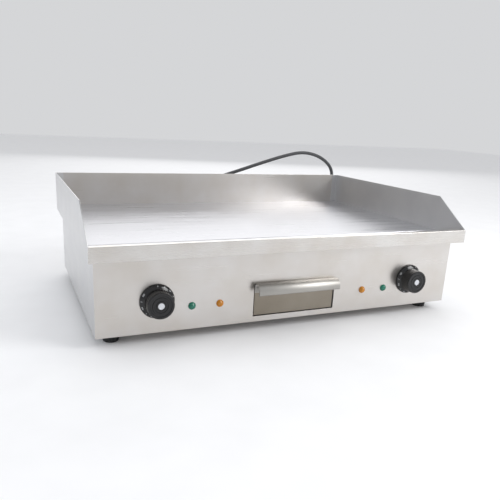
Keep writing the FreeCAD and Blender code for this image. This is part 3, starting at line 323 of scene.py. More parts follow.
# %% Dial print
DIAL_SWEEP = 300
DIAL_NUMBERS = ("0", "50", "100", "150", "200", "250", "300")
PRINT_THICKNESS = 0.06
NUMBER_SIZE, NUMBER_SPOT = 3.6, 0.5
STROKE_SIZE, STROKE_SPOT = (0.5, 3.2), 0.45
STROKE_ROUNDING = 0.45
slope_run = DIAL_START[0] - DIAL_END[0]
slope_rise = DIAL_END[1] - DIAL_START[1]
slope_tilt = math.atan2(slope_rise, slope_run)


def on_dial(piece, along, angle):
    """Lay a flat piece on the dial's slope, a share of the way in, at a clockwise angle."""
    radius = DIAL_START[0] - slope_run * along
    height = DIAL_START[1] + slope_rise * along
    piece.matrix_world = (Matrix.Rotation(-math.radians(angle), 4, "Z")
                          @ Matrix.Translation(Vector((0, radius * MM, height * MM)))
                          @ Matrix.Rotation(-slope_tilt, 4, "X"))
    only(piece)
    bpy.ops.object.transform_apply(location=True, rotation=True, scale=True)
    return piece


def number_print(text):
    """A number as a thin raised mesh, centred on its own middle."""
    bpy.ops.object.select_all(action="DESELECT")
    bpy.ops.object.text_add()
    piece = bpy.context.object
    piece.data.body = text
    piece.data.size = NUMBER_SIZE * MM
    piece.data.align_x = "CENTER"
    piece.data.align_y = "CENTER"
    piece.data.extrude = PRINT_THICKNESS * MM
    piece.data.resolution_u = 3
    bpy.ops.object.convert(target="MESH")
    return bpy.context.object


def stroke_print(width, length):
    """A thin bar with rounded ends, as a scale stroke."""
    bpy.ops.object.select_all(action="DESELECT")
    bpy.ops.mesh.primitive_cube_add(size=MM)
    piece = bpy.context.object
    piece.scale = (width, length, 2 * PRINT_THICKNESS)
    bpy.ops.object.transform_apply(scale=True)
    apply(piece, "BEVEL", width=STROKE_ROUNDING * width * MM, segments=2, limit_method="ANGLE",
          angle_limit=math.radians(60))
    return piece


prints = []
number_step = DIAL_SWEEP / (len(DIAL_NUMBERS) - 1)
for count, text in enumerate(DIAL_NUMBERS):
    prints.append(on_dial(number_print(text), NUMBER_SPOT, count * number_step))
for count in range(2 * (len(DIAL_NUMBERS) - 1)):
    if count % 2:
        prints.append(on_dial(stroke_print(*STROKE_SIZE), STROKE_SPOT, count * number_step / 2))
only(*prints)
bpy.ops.object.join()
master_print = bpy.context.object
master_print.name = "master_print"
print("print faces", len(master_print.data.polygons))

# %% [markdown]
# A spun aluminium disc closes the seat in the grip. It is turned too: a rounded rim, and two fine
# steps that catch the light as rings.

# %% Knob cap
CAP_RINGS = [(5.3, 25.7), (5.5, 25.9), (5.5, 26.5), (5.2, 26.85), (4.2, 26.9), (4.0, 26.7),
             (2.6, 26.7), (2.4, 26.9), (0.6, 26.95)]
master_cap = smooth(turned("master_cap", CAP_RINGS), 25)
print("cap faces", len(master_cap.data.polygons))


# %% Copy both controls to their shafts
def copy_of(master, name):
    """A second piece with its own mesh."""
    piece = master.copy()
    piece.data = master.data.copy()
    piece.name = name
    piece.data.name = name
    bpy.context.scene.collection.objects.link(piece)
    return piece


def fit(master, name, place, axis, body, slot, *replaced):
    """Copy a master piece, stand it in place and say what it rides on and replaces."""
    piece = stand(copy_of(master, name), place, axis)
    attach(piece, body)
    if replaced:
        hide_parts(*replaced)
    return piece


knobs, dial_prints, caps = [], [], []
for side, place in knob_places.items():
    body = side + "_control"
    knobs.append(fit(master_knob, "moulded_knob_" + side, place, "-Y", body, "phenolic_black",
                     "knob_" + side))
    dial_prints.append(fit(master_print, "dial_print_" + side, place, "-Y", body, None))
    caps.append(fit(master_cap, "spun_cap_" + side, place, "-Y", body, "cap_aluminium",
                    "knob_cap_" + side))
for master in (master_knob, master_print, master_cap):
    bpy.data.objects.remove(master)
print("controls", [piece.name for piece in knobs + dial_prints + caps])

# %% [markdown]
# ## The pilot lamps
# Each lamp shows a coloured cap with a flat rim and a jewel of twelve facets over a neon. With
# only twelve points on each ring and flat shading, the facets come by themselves.

# %% Lamp jewels
LAMP_FRONT_Y = -213.5
LAMP_HEIGHT = 60
LAMP_X = {"amber": 146.5, "green": 196.5}
JEWEL_RINGS = [(6.75, 0), (6.75, 0.9), (6.3, 1.3), (5.9, 1.4), (5.6, 2.4), (4.6, 4.0),
               (2.8, 5.1), (1.0, 5.5)]
JEWEL_FACETS = 12
master_jewel = turned("master_jewel", JEWEL_RINGS, JEWEL_FACETS)
jewels = {"green": [], "amber": []}
for colour, distance in LAMP_X.items():
    for side, sign in (("left", -1), ("right", 1)):
        place = (sign * distance * MM, LAMP_FRONT_Y * MM, LAMP_HEIGHT * MM)
        jewels[colour].append(fit(master_jewel, f"lamp_jewel_{colour}_{side}", place, "-Y", "chassis",
                                  "lens_" + colour, f"lamp_lens_{colour}_{side}"))
bpy.data.objects.remove(master_jewel)
print("lamp jewels", [piece.name for pieces in jewels.values() for piece in pieces])

# %% [markdown]
# ## The drawer pull
# The pull is one strip of sheet, rolled over towards the cook and hemmed so that no raw edge meets
# the fingers. An edge as long as the pull is extruded along its section: two arcs and straight
# runs. Solidify gives the sheet its thickness and Bevel breaks its cut ends.

# %% Drawer pull
PULL_HALF = 81.6
PULL_SHEET = 1.2


def arc(centre, radius, start, end, steps):
    """Points on an arc in the YZ plane, from one angle to another in degrees."""
    angles = [math.radians(start + (end - start) * step / steps) for step in range(steps + 1)]
    return [(centre[0] + radius * math.cos(angle), centre[1] + radius * math.sin(angle))
            for angle in angles]


PULL_SECTION = ([(-212.65, 72.4)]
                + arc((-220.65, 83.0), 8.0, 0, 90, 10)
                + arc((-220.65, 77.6), 13.35, 90, 180, 14)
                + arc((-232.7, 74.4), 1.3, 180, 360, 8)
                + [(-231.4, 77.6)])


def folded_strip(name, section, half_width):
    """An edge across X, extruded through each point of a section in the YZ plane."""
    bpy.ops.object.select_all(action="DESELECT")
    bpy.ops.mesh.primitive_plane_add(size=2 * half_width * MM)
    piece = bpy.context.object
    piece.name = name
    back_y, back_z = section[0]
    pick(piece, "EDGE", lambda edge: all(piece.data.vertices[i].co.y > 0 for i in edge.vertices))
    bpy.ops.mesh.select_all(action="INVERT")
    bpy.ops.mesh.delete(type="ONLY_FACE")
    bpy.ops.object.mode_set(mode="OBJECT")
    pick(piece, "VERT", lambda vertex: vertex.co.y < 0)
    bpy.ops.mesh.delete(type="VERT")
    bpy.ops.mesh.select_mode(type="EDGE")
    bpy.ops.mesh.select_all(action="SELECT")
    bpy.ops.transform.translate(value=(0, back_y * MM - half_width * MM, back_z * MM))
    for (y0, z0), (y1, z1) in zip(section, section[1:]):
        bpy.ops.mesh.extrude_edges_move(
            TRANSFORM_OT_translate={"value": (0, (y1 - y0) * MM, (z1 - z0) * MM)})
    return close(piece)


pull = folded_strip("rolled_pull", PULL_SECTION, PULL_HALF)
apply(pull, "SOLIDIFY", thickness=PULL_SHEET * MM, offset=0)
apply(pull, "BEVEL", width=0.25 * MM, segments=2, limit_method="ANGLE", angle_limit=math.radians(50))
smooth(pull, 40)
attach(pull, "drawer")
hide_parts("drawer_handle")
print("pull faces", len(pull.data.polygons))

# %% [markdown]
# ## Feet, screws and the bonding stud
# The feet are rubber turnings with a groove under the screw. The rear cover's screws have pan
# heads with a cross recess: the recess is cut by a Boolean with two crossed, tapered blades.

# %% Feet
FOOT_X = 325
FOOT_Y = (-178.5, 196.5)
FOOT_RINGS = [(4.6, 8.0), (4.6, 1.0), (5.4, 0.0), (11.6, 0.0), (12.7, 0.8), (13.0, 2.0),
              (13.6, 6.2), (13.4, 6.9), (13.5, 7.6), (13.9, 8.2), (14.9, 18.2), (14.9, 19.4),
              (14.4, 20.2)]
master_foot = smooth(turned("master_foot", FOOT_RINGS), 30)
feet = []
for side, x in (("left", -FOOT_X), ("right", FOOT_X)):
    for end, y in zip(("front", "back"), FOOT_Y):
        feet.append(fit(master_foot, f"rubber_foot_{end}_{side}", (x * MM, y * MM, 0), "+Z", "chassis",
                        "foot_rubber", f"foot_{end}_{side}"))
bpy.data.objects.remove(master_foot)
print("feet", len(feet))

# %% Rear cover screws
SCREW_X = (-348, 348)
SCREW_HEIGHTS = (25, 85, 143)
REAR_Y = 231.5
SCREW_RINGS = [(4.0, 0.0), (4.0, 0.7), (3.6, 1.5), (2.8, 2.1), (1.6, 2.36), (0.6, 2.4)]
RECESS_REACH, RECESS_WIDTH, RECESS_DEPTH = 2.1, 0.7, 1.1
RECESS_TURN, RECESS_TAPER = 20, 0.55


def cross_recess(piece, top, reach, depth):
    """Cut a cross into the top of an upright round piece."""
    for turn_angle in (0, 90):
        bpy.ops.object.select_all(action="DESELECT")
        bpy.ops.mesh.primitive_cube_add(size=MM)
        blade = bpy.context.object
        blade.matrix_world = (Matrix.Translation((0, 0, top * MM))
                              @ Matrix.Rotation(math.radians(turn_angle + RECESS_TURN), 4, "Z")
                              @ Matrix.Diagonal((2 * reach, RECESS_WIDTH, 2 * depth, 1)))
        only(blade)
        bpy.ops.object.transform_apply(location=True, rotation=True, scale=True)
        pick(blade, "VERT", lambda vertex: vertex.co.z < top * MM)
        bpy.ops.transform.resize(value=(RECESS_TAPER, RECESS_TAPER, 1),
                                 center_override=(0, 0, top * MM))
        bpy.ops.object.mode_set(mode="OBJECT")
        apply(piece, "BOOLEAN", object=blade, operation="DIFFERENCE", solver="EXACT")
        bpy.data.objects.remove(blade)


master_screw = turned("master_screw", SCREW_RINGS, 28)
cross_recess(master_screw, SCREW_RINGS[-1][1], RECESS_REACH, RECESS_DEPTH)
smooth(master_screw, 40)
screw_heads = []
for x in SCREW_X:
    for height in SCREW_HEIGHTS:
        head = stand(copy_of(master_screw, f"screw_head_{len(screw_heads) + 1}"),
                     (x * MM, REAR_Y * MM, height * MM), "+Y")
        screw_heads.append(head)
bpy.data.objects.remove(master_screw)
only(*screw_heads)
bpy.ops.object.join()
rear_heads = bpy.context.object
rear_heads.name = "cross_head_screws"
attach(rear_heads, "chassis")
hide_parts("rear_screws")
print("screw head faces", len(rear_heads.data.polygons))

# %% [markdown]
# The bonding stud takes the wire that ties the casing to its neighbours. It is a hexagon under a
# threaded shank. The thread is drawn as close rings, about one to a millimetre, since its helix is
# too fine to tell from rings at this size.

# %% Bonding stud
STUD_PLACE = (-318 * MM, REAR_Y * MM, 60 * MM)
HEX_CORNER = 10 / math.sqrt(3)
THREAD_PITCH = 0.9
THREAD_START, THREAD_END = 4.3, 8.9
THREAD_VALLEY, THREAD_CREST = 2.65, 2.98
SHANK_FOOT, SHANK_TIP = 3.6, (2.3, 9.5)
STUD_NUT_HEIGHT, STUD_NUT_CHAMFER = 4.0, 0.5
CHAMFERED_CORNER = 0.94


def hexagon_nut(name, corner, height, chamfer):
    """A six-sided turning with its two faces chamfered."""
    return turned(name, [(corner * CHAMFERED_CORNER, 0), (corner, chamfer),
                         (corner, height - chamfer), (corner * CHAMFERED_CORNER, height)], 6)


thread_rings = []
ring_height = THREAD_START
while ring_height + THREAD_PITCH <= THREAD_END:
    thread_rings += [(THREAD_VALLEY, ring_height), (THREAD_CREST, ring_height + THREAD_PITCH / 2)]
    ring_height += THREAD_PITCH
shank_rings = ([(THREAD_CREST, SHANK_FOOT)] + thread_rings
               + [(THREAD_VALLEY, THREAD_END), SHANK_TIP])
shank = smooth(turned("shank", shank_rings, 24), 20)
nut = hexagon_nut("nut", HEX_CORNER, STUD_NUT_HEIGHT, STUD_NUT_CHAMFER)
only(nut, shank)
bpy.ops.object.join()
stud = stand(bpy.context.object, STUD_PLACE, "+Y")
stud.name = "threaded_bonding_stud"
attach(stud, "chassis")
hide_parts("bonding_stud")
print("stud faces", len(stud.data.polygons))

# %% [markdown]
# ## Gland, strain relief and plug
# The cord leaves through a nylon gland: a hexagon against the casing and a fluted dome nut. Next
# comes a rubber sleeve whose rings shrink towards the cord, so that it bends instead of kinking.
# The plug is moulded round the far end, with a ribbed neck and a waist for the fingers.

# %% Cable gland
GLAND_PLACE = (318 * MM, REAR_Y * MM, 60 * MM)
GLAND_CORNER = 27 / math.sqrt(3)
GLAND_HEIGHT, GLAND_CHAMFER = 6.0, 0.8
DOME_FLUTES = 18
DOME_POINTS = POINTS_PER_FLUTE * DOME_FLUTES
DOME_FLUTE_LOW, DOME_FLUTE_HIGH = 6.0, 13.5
DOME_FLUTE_SCALE = 0.93
DOME_RINGS = [(12.6, 5.6), (13.0, 6.4), (13.0, 12.6), (12.2, 14.0), (10.4, 15.8), (8.6, 17.2),
              (8.2, 17.5)]
gland_hexagon = hexagon_nut("gland_hexagon", GLAND_CORNER, GLAND_HEIGHT, GLAND_CHAMFER)
dome = turned("dome", DOME_RINGS, DOME_POINTS)


def in_dome_flute(vertex):
    """True for the points at the bottom of a dome nut's flutes."""
    x, y, z = vertex.co / MM
    column = round(math.atan2(y, x) / (2 * math.pi) * DOME_POINTS) % POINTS_PER_FLUTE
    return column == 0 and DOME_FLUTE_LOW < z < DOME_FLUTE_HIGH


pick(dome, "VERT", in_dome_flute)
bpy.ops.transform.resize(value=(DOME_FLUTE_SCALE, DOME_FLUTE_SCALE, 1), center_override=(0, 0, 0))
bpy.ops.object.mode_set(mode="OBJECT")
smooth(dome, 30)
only(gland_hexagon, dome)
bpy.ops.object.join()
gland = stand(bpy.context.object, GLAND_PLACE, "+Y")
gland.name = "fluted_cable_gland"
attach(gland, "chassis")
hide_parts("cable_gland")
print("gland faces", len(gland.data.polygons))

# %% Strain relief
RELIEF_START, RELIEF_END = 249, 275
RELIEF_RIBS = 6
RELIEF_RADIUS, RELIEF_TAPER, RELIEF_NECK = 8.1, 2.2, 5.3
RIB_FACE = (0.15, 0.55)
RIB_GROOVE = ((1.1, 0.65), (1.2, 0.95))
relief_length = RELIEF_END - RELIEF_START
rib = relief_length / RELIEF_RIBS
relief_rings = [(RELIEF_RADIUS, 0)]
for count in range(RELIEF_RIBS):
    outer = RELIEF_RADIUS - RELIEF_TAPER * count / (RELIEF_RIBS - 1)
    start = count * rib
    relief_rings += [(outer, start + share * rib) for share in RIB_FACE]
    if count < RELIEF_RIBS - 1:
        relief_rings += [(outer - depth, start + share * rib) for depth, share in RIB_GROOVE]
relief_rings += [(RELIEF_NECK, relief_length)]
relief = stand(turned("ribbed_strain_relief", relief_rings, 40),
               (GLAND_PLACE[0], RELIEF_START * MM, GLAND_PLACE[2]), "+Y")
smooth(relief, 50)
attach(relief, "chassis")
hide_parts("cord_boot")
print("strain relief", relief_length, "mm long")

# %% Plug and pins
PLUG_RINGS = [(5.3, 0), (5.7, 0.6), (6.0, 3.4), (5.4, 4.2), (5.5, 6.0), (6.7, 6.8), (6.9, 9.8),
              (6.1, 10.8), (6.2, 12.6), (7.6, 13.6), (7.9, 16.8), (6.9, 18.0), (7.0, 20.0),
              (8.6, 21.2), (8.5, 26.0),
              (9.4, 28.6), (13.4, 31.4), (15.0, 35.0), (14.6, 40.0), (14.4, 46.0), (15.6, 52.0),
              (17.6, 57.0), (17.9, 60.0), (17.9, 62.4), (17.2, 64.0)]
PLUG_LENGTH = PLUG_RINGS[-1][1]
WAIST_SIDE, WAIST_LOW, WAIST_HIGH = 12.2, 30, 55
WAIST_SCALE = 0.86
PIN_RINGS = [(2.4, 0), (2.4, 17.0), (2.1, 18.2), (1.2, 18.9), (0.5, 19)]
PIN_OFFSET = 9.5
plug = turned("moulded_plug", PLUG_RINGS, 48)
pick(plug, "VERT", lambda vertex: (abs(vertex.co.y) > WAIST_SIDE * MM
                                   and WAIST_LOW < vertex.co.z / MM < WAIST_HIGH))
bpy.ops.transform.resize(value=(1, WAIST_SCALE, 1), center_override=(0, 0, 0))
bpy.ops.object.mode_set(mode="OBJECT")
stand(plug, [number * MM for number in PLUG_TAIL], "-X")
smooth(plug, 40)
pins = []
for sign in (-1, 1):
    pin = turned("pin", PIN_RINGS, 24)
    pins.append(stand(pin, ((PLUG_TAIL[0] - PLUG_LENGTH) * MM,
                            (PLUG_TAIL[1] + sign * PIN_OFFSET) * MM, PLUG_TAIL[2] * MM), "-X"))
only(*pins)
bpy.ops.object.join()
plug_pins = smooth(bpy.context.object, 40)
plug_pins.name = "round_plug_pins"
for piece, slot_name, node in ((plug, "cord_rubber", "plug"), (plug_pins, "brass", "plug_pins")):
    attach(piece, "chassis")
    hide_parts(node)
print("plug at", [round(number) for number in PLUG_TAIL])

# %% [markdown]
# The cord is declared with its real length and everything on it. Its end meets the plug's neck.

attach(cord, "chassis")
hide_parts("power_cord", "cord_coil")

# %% [markdown]
# ## Softening the sheet metal
# The frame's sheets have perfectly sharp corners. A press brake leaves each bend a little round,
# and that round edge is what draws a bright line along real sheet. So the visible sheets are
# copied, their loose triangles are merged and dissolved into whole faces, and a small Bevel goes
# on every corner. The frame's own mesh stays untouched underneath.

# %% Soft-edged sheets
SHEETS = {
    "front_trim": ("folded_front_trim", 0.6),
    "splash_left": ("folded_left_guard", 0.35),
    "splash_right": ("folded_right_guard", 0.35),
    "splash_back": ("folded_back_guard", 0.35),
    "front_panel": ("folded_front_panel", 0.45),
    "side_panel_left": ("folded_left_side", 0.35),
    "side_panel_right": ("folded_right_side", 0.35),
    "rear_panel": ("folded_rear_cover", 0.3),
    "drawer_front": ("drawer_face", 0.3),
    "griddle_plate": ("ground_griddle_plate", 0.4),
}


def softened(node, name, radius):
    """A merged copy of a sheet with its corners rounded by a small radius in millimetres."""
    piece = nodes[node].copy()
    piece.data = nodes[node].data.copy()
    piece.name = name
    bpy.context.scene.collection.objects.link(piece)
    piece.parent = None
    for key in list(piece.keys()):
        del piece[key]
    pick(piece, "FACE", lambda face: True)
    bpy.ops.mesh.select_all(action="SELECT")
    bpy.ops.mesh.remove_doubles(threshold=0.002 * MM)
    bpy.ops.mesh.dissolve_limited(angle_limit=math.radians(0.5))
    bpy.ops.object.mode_set(mode="OBJECT")
    apply(piece, "BEVEL", width=radius * MM, segments=2, limit_method="ANGLE",
          angle_limit=math.radians(35), use_clamp_overlap=True)
    smooth(piece, 50)
    apply(piece, "WEIGHTED_NORMAL", keep_sharp=True)
    return piece


sheets = {}
for node, (name, radius) in SHEETS.items():
    sheet = softened(node, name, radius)
    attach(sheet, "drawer" if node == "drawer_front" else "chassis")
    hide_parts(node)
    sheets[node] = sheet
    print(name, len(sheet.data.polygons), "faces")

# %% [markdown]
# ## Finishes
# Every finish is a node material. Colours are written as sRGB hex, as on a colour card, and one
# function turns them to the linear numbers that a shader works in. Patterns read Object
# coordinates: all pieces share one origin, so a millimetre is the same everywhere.

# %% Material helpers
def linear(hex_colour):
    """An sRGB hex colour as linear red, green, blue and alpha."""
    parts = [int(hex_colour[start:start + 2], 16) / 255 for start in (1, 3, 5)]
    return [part / 12.92 if part <= 0.04045 else ((part + 0.055) / 1.055) ** 2.4 for part in parts] + [1]


def add_node(tree, kind, inputs, **settings):
    """Add a node. Inputs are given by name or number, as a value or as another node's output."""
    node = tree.nodes.new(kind)
    for key, value in settings.items():
        setattr(node, key, value)
    for key, value in inputs.items():
        if isinstance(value, bpy.types.NodeSocket):
            tree.links.new(value, node.inputs[key])
        else:
            node.inputs[key].default_value = value
    return node


def finish(name, hex_colour, **sockets):
    """A new material with its shader's own sockets set. Returns the material, tree and shader."""
    material = bpy.data.materials.new(name)
    material.use_nodes = True
    tree = material.node_tree
    shader = tree.nodes["Principled BSDF"]
    shader.inputs["Base Color"].default_value = linear(hex_colour)
    for key, value in sockets.items():
        shader.inputs[key.replace("_", " ")].default_value = value
    return material, tree, shader


def pattern(tree, size, detail=2.0, roughness=0.5):
    """Noise whose grains measure about size millimetres along X, Y and Z."""
    place = add_node(tree, "ShaderNodeTexCoord", {}).outputs["Object"]
    scaled = add_node(tree, "ShaderNodeMapping",
                      {"Vector": place, "Scale": [1 / (number * MM) for number in size]})
    noise = add_node(tree, "ShaderNodeTexNoise", {"Vector": scaled.outputs["Vector"], "Scale": 1.0,
                                                  "Detail": detail, "Roughness": roughness})
    return noise.outputs["Fac"]


NOISE_LOW, NOISE_HIGH = 0.3, 0.7


def spread(tree, value, low, high):
    """Noise runs mostly from 0.3 to 0.7, so that stretch is mapped to a useful range."""
    return add_node(tree, "ShaderNodeMapRange",
                    {"Value": value, "From Min": NOISE_LOW, "From Max": NOISE_HIGH,
                     "To Min": low, "To Max": high}).outputs["Result"]


def mix_colours(tree, share, first, second):
    """Blend two hex colours by a pattern."""
    ramp = add_node(tree, "ShaderNodeValToRGB", {"Fac": share})
    ramp.color_ramp.elements[0].color = linear(first)
    ramp.color_ramp.elements[1].color = linear(second)
    return ramp.outputs["Color"]


def bumps(tree, shader, *layers):
    """Chain bump nodes from (height pattern, depth in millimetres) pairs into the shader."""
    normal = None
    for height, depth in layers:
        inputs = {"Height": height, "Distance": depth * MM, "Strength": 1.0}
        if normal is not None:
            inputs["Normal"] = normal
        normal = add_node(tree, "ShaderNodeBump", inputs).outputs["Normal"]
    tree.links.new(normal, shader.inputs["Normal"])


def dress(material, *pieces):
    """Give pieces one material in every slot."""
    for piece in pieces:
        if not piece.data.materials:
            piece.data.materials.append(material)
        for count in range(len(piece.material_slots)):
            piece.material_slots[count].material = material


print("white is", linear("#FFFFFF"))

# %% [markdown]
# Brushed stainless sheet, grade 304 with a number 4 finish: a belt leaves fine lines along the
# sheet, so light spreads across the lines and hardly along them. That is anisotropy, turned by a
# constant tangent that points across the grain. Real lines are a twentieth of a millimetre apart.
# They are drawn about two millimetres wide here so that they show. Rolled sheet is never quite
# flat: a slow swell and shallow bands bend its reflections, and handling leaves faint clouds.

# %% Brushed stainless
GRAIN_LENGTH = 120
GRAIN_WIDTH = 2.0
STREAK_LENGTH, STREAK_WIDTH = 1.6 * GRAIN_LENGTH, 6 * GRAIN_WIDTH
LINE_DEPTH = 0.0002
LINE_ROUGHNESS, STREAK_ROUGHNESS = 0.012, 0.008
SWELL_SIZE, CLOUD_SIZE = 140, 60
BAND_SIZE = (26, 900, 900)


def brushed_stainless(name, grain, colours, roughness, swell, bands):
    """Brushed sheet with its grain along X, Y or Z. Swell and bands are depths in millimetres."""
    material, tree, shader = finish(name, colours[0], Metallic=1.0, Anisotropic=0.5)
    fine = [GRAIN_LENGTH if axis == grain else GRAIN_WIDTH for axis in "XYZ"]
    streaks = [STREAK_LENGTH if axis == grain else STREAK_WIDTH for axis in "XYZ"]
    across = {"X": (0, 1, 1), "Y": (1, 0, 1), "Z": (1, 1, 0)}[grain]
    tangent = add_node(tree, "ShaderNodeCombineXYZ", dict(zip("XYZ", across))).outputs["Vector"]
    tree.links.new(tangent, shader.inputs["Tangent"])
    lines = pattern(tree, fine, 1.0)
    clouds = pattern(tree, (CLOUD_SIZE, CLOUD_SIZE, CLOUD_SIZE), 3.0)
    waves = pattern(tree, (SWELL_SIZE, SWELL_SIZE, SWELL_SIZE), 0.0)
    ripples = pattern(tree, BAND_SIZE, 1.0)
    tree.links.new(mix_colours(tree, spread(tree, clouds, 0.0, 1.0), *colours),
                   shader.inputs["Base Color"])
    streaky = add_node(tree, "ShaderNodeMath", {
        0: spread(tree, lines, -LINE_ROUGHNESS, LINE_ROUGHNESS),
        1: spread(tree, pattern(tree, streaks), -STREAK_ROUGHNESS, STREAK_ROUGHNESS),
    }, operation="ADD").outputs["Value"]
    rough = add_node(tree, "ShaderNodeMath", {0: streaky, 1: roughness}, operation="ADD")
    tree.links.new(rough.outputs["Value"], shader.inputs["Roughness"])
    bumps(tree, shader, (waves, swell), (ripples, bands), (lines, LINE_DEPTH))
    return material


front_steel = brushed_stainless("stainless_304_brushed_along_x", "X", ("#CBC6C0", "#D2CFCC"),
                                roughness=0.29, swell=0.12, bands=0.02)
trim_steel = brushed_stainless("stainless_304_trim_brushed_along_x", "X", ("#C9C4BE", "#D4D2CF"),
                               roughness=0.27, swell=0.08, bands=0.08)
side_steel = brushed_stainless("stainless_304_brushed_along_y", "Y", ("#CDCDCE", "#D4D4D4"),
                               roughness=0.32, swell=0.15, bands=0.0)
# The drawer face is the same stainless sheet, but its colours are much darker and browner than the
# panel's: that darkening is painted shade, not a different metal.
drawer_steel_with_painted_shade = brushed_stainless("stainless_304_brushed_along_z_painted_shade", "Z", ("#877F73", "#918A7F"),
                                 roughness=0.30, swell=0.1, bands=0.05)
pull_steel = brushed_stainless("stainless_304_pull_brushed_along_x", "X", ("#A5A29D", "#B0AEAA"),
                               roughness=0.42, swell=0.0, bands=0.01)
print("sheet finishes", [m.name for m in bpy.data.materials if m.name.startswith("stainless")])

# %% [markdown]
# The cooking plate is 8 mm carbon steel, ground and then rubbed with an abrasive stone. It is a
# cooler grey than the sheet. Long passes of the stone leave pale streaks that wander, and a slow
# swell bends the reflections.

# %% Ground plate
GRINDING_SIZE = (90, 1.2, 40)
PASS_SIZE = (170, 16, 40)
PLATE_SWELL_SIZE = (120, 70, 40)
plate_steel, tree, shader = finish("ground_carbon_steel_plate", "#C8C8CB", Metallic=1.0,
                                   Anisotropic=0.5)
tangent = add_node(tree, "ShaderNodeCombineXYZ", {"X": 0.0, "Y": 1.0, "Z": 1.0}).outputs["Vector"]
tree.links.new(tangent, shader.inputs["Tangent"])
grinding = pattern(tree, GRINDING_SIZE, 3.0, 0.65)
passes = pattern(tree, PASS_SIZE, 3.0, 0.55)
plate_swell = pattern(tree, PLATE_SWELL_SIZE, 2.0)
tree.links.new(mix_colours(tree, spread(tree, passes, 0.0, 1.0), "#C2C2C6", "#CFCFD2"),
               shader.inputs["Base Color"])
dull = add_node(tree, "ShaderNodeMath", {0: spread(tree, grinding, -0.05, 0.06),
                                         1: spread(tree, passes, 0.27, 0.38)}, operation="ADD")
tree.links.new(dull.outputs["Value"], shader.inputs["Roughness"])
bumps(tree, shader, (plate_swell, 0.15), (passes, 0.012), (grinding, 0.004))
print("plate finish", plate_steel.name)

# %% [markdown]
# Galvanised sheet shows spangle, crystals of zinc a few millimetres across that each reflect a
# little differently. A Voronoi texture gives every crystal its own brightness. Zinc-plated screws
# have the same metal in a thin smooth coat with a bluish passivation.

# %% Galvanised and plated parts
SPANGLE_SIZE = 7
galvanised, tree, shader = finish("hot_dip_galvanised_sheet", "#B4B7B9", Metallic=1.0, Roughness=0.42)
place = add_node(tree, "ShaderNodeTexCoord", {}).outputs["Object"]
spangle = add_node(tree, "ShaderNodeTexVoronoi", {"Vector": place, "Scale": 1 / (SPANGLE_SIZE * MM)})
grey = add_node(tree, "ShaderNodeSeparateColor", {"Color": spangle.outputs["Color"]}).outputs["Red"]
tree.links.new(mix_colours(tree, grey, "#9DA1A4", "#C3C6C8"), shader.inputs["Base Color"])
bumps(tree, shader, (grey, 0.02))


def plated(name, colours, roughness, grain):
    """A plated or drawn metal with a fine even texture."""
    material, tree, shader = finish(name, colours[0], Metallic=1.0)
    texture = pattern(tree, (grain, grain, grain), 3.0)
    tree.links.new(mix_colours(tree, spread(tree, texture, 0.0, 1.0), *colours),
                   shader.inputs["Base Color"])
    tree.links.new(spread(tree, texture, roughness - 0.05, roughness + 0.08),
                   shader.inputs["Roughness"])
    bumps(tree, shader, (texture, 0.01))
    return material


zinc = plated("zinc_plated_steel", ("#B9BEC4", "#CBCDCE"), 0.28, 2.0)
brass = plated("machined_brass", ("#C9A75E", "#D9BC78"), 0.26, 1.5)
copper = plated("drawn_copper", ("#B8704F", "#CC8A68"), 0.30, 3.0)
heater_tube = plated("annealed_incoloy_tube", ("#4C4A46", "#6A675F"), 0.48, 5.0)
print("plated finishes ready")

# %% [markdown]
# The cap in the knob is aluminium turned on a lathe. Its tool marks run round the axis, so light
# stretches across them in a star. Fine rings come from the distance to the knob's axis.

# %% Turned aluminium
RING_PITCH = 0.35
RING_ROUGHNESS = (0.2, 0.34)


def turned_aluminium(name, centre):
    """Aluminium with rings round an axis along Y through a point."""
    material, tree, shader = finish(name, "#D4D6DA", Metallic=1.0)
    place = add_node(tree, "ShaderNodeTexCoord", {}).outputs["Object"]
    centred = add_node(tree, "ShaderNodeMapping",
                       {"Vector": place, "Location": [-number for number in centre]})
    flat = add_node(tree, "ShaderNodeVectorMath",
                    {0: centred.outputs["Vector"], 1: (1, 0, 1)}, operation="MULTIPLY")
    reach = add_node(tree, "ShaderNodeVectorMath", {0: flat.outputs["Vector"]}, operation="LENGTH")
    wave = add_node(tree, "ShaderNodeMath",
                    {0: reach.outputs["Value"], 1: 2 * math.pi / (RING_PITCH * MM)},
                    operation="MULTIPLY")
    rings = add_node(tree, "ShaderNodeMath", {0: wave.outputs["Value"]}, operation="SINE")
    rings = rings.outputs["Value"]
    dull = add_node(tree, "ShaderNodeMapRange",
                    {"Value": rings, "From Min": -1.0, "To Min": RING_ROUGHNESS[0],
                     "To Max": RING_ROUGHNESS[1]})
    tree.links.new(dull.outputs["Result"], shader.inputs["Roughness"])
    bumps(tree, shader, (rings, 0.01))
    return material


for side, piece in zip(("left", "right"), caps):
    dress(turned_aluminium("turned_aluminium_" + side, knob_places[side]), piece)
print("caps dressed")

# %% [markdown]
# Plastics and rubbers are not metals: their colour comes from inside and only a thin clear
# reflection lies on top. Phenolic is pressed in a polished mould, so it is glossy with a slight
# orange peel. Nylon is duller. Rubber is dull with a fine sandy skin.

# %% Mouldings
WEAR_SIZE = 18


def moulded(name, colours, roughness, grain, depth, **sockets):
    """A moulded plastic or rubber: two close colours, a fine skin and its own gloss."""
    material, tree, shader = finish(name, colours[0], **sockets)
    skin = pattern(tree, (grain, grain, grain), 3.0)
    wear = pattern(tree, (WEAR_SIZE, WEAR_SIZE, WEAR_SIZE), 2.0)
    tree.links.new(mix_colours(tree, spread(tree, wear, 0.0, 1.0), *colours),
                   shader.inputs["Base Color"])
    tree.links.new(spread(tree, wear, roughness - 0.04, roughness + 0.06),
                   shader.inputs["Roughness"])
    bumps(tree, shader, (skin, depth))
    return material


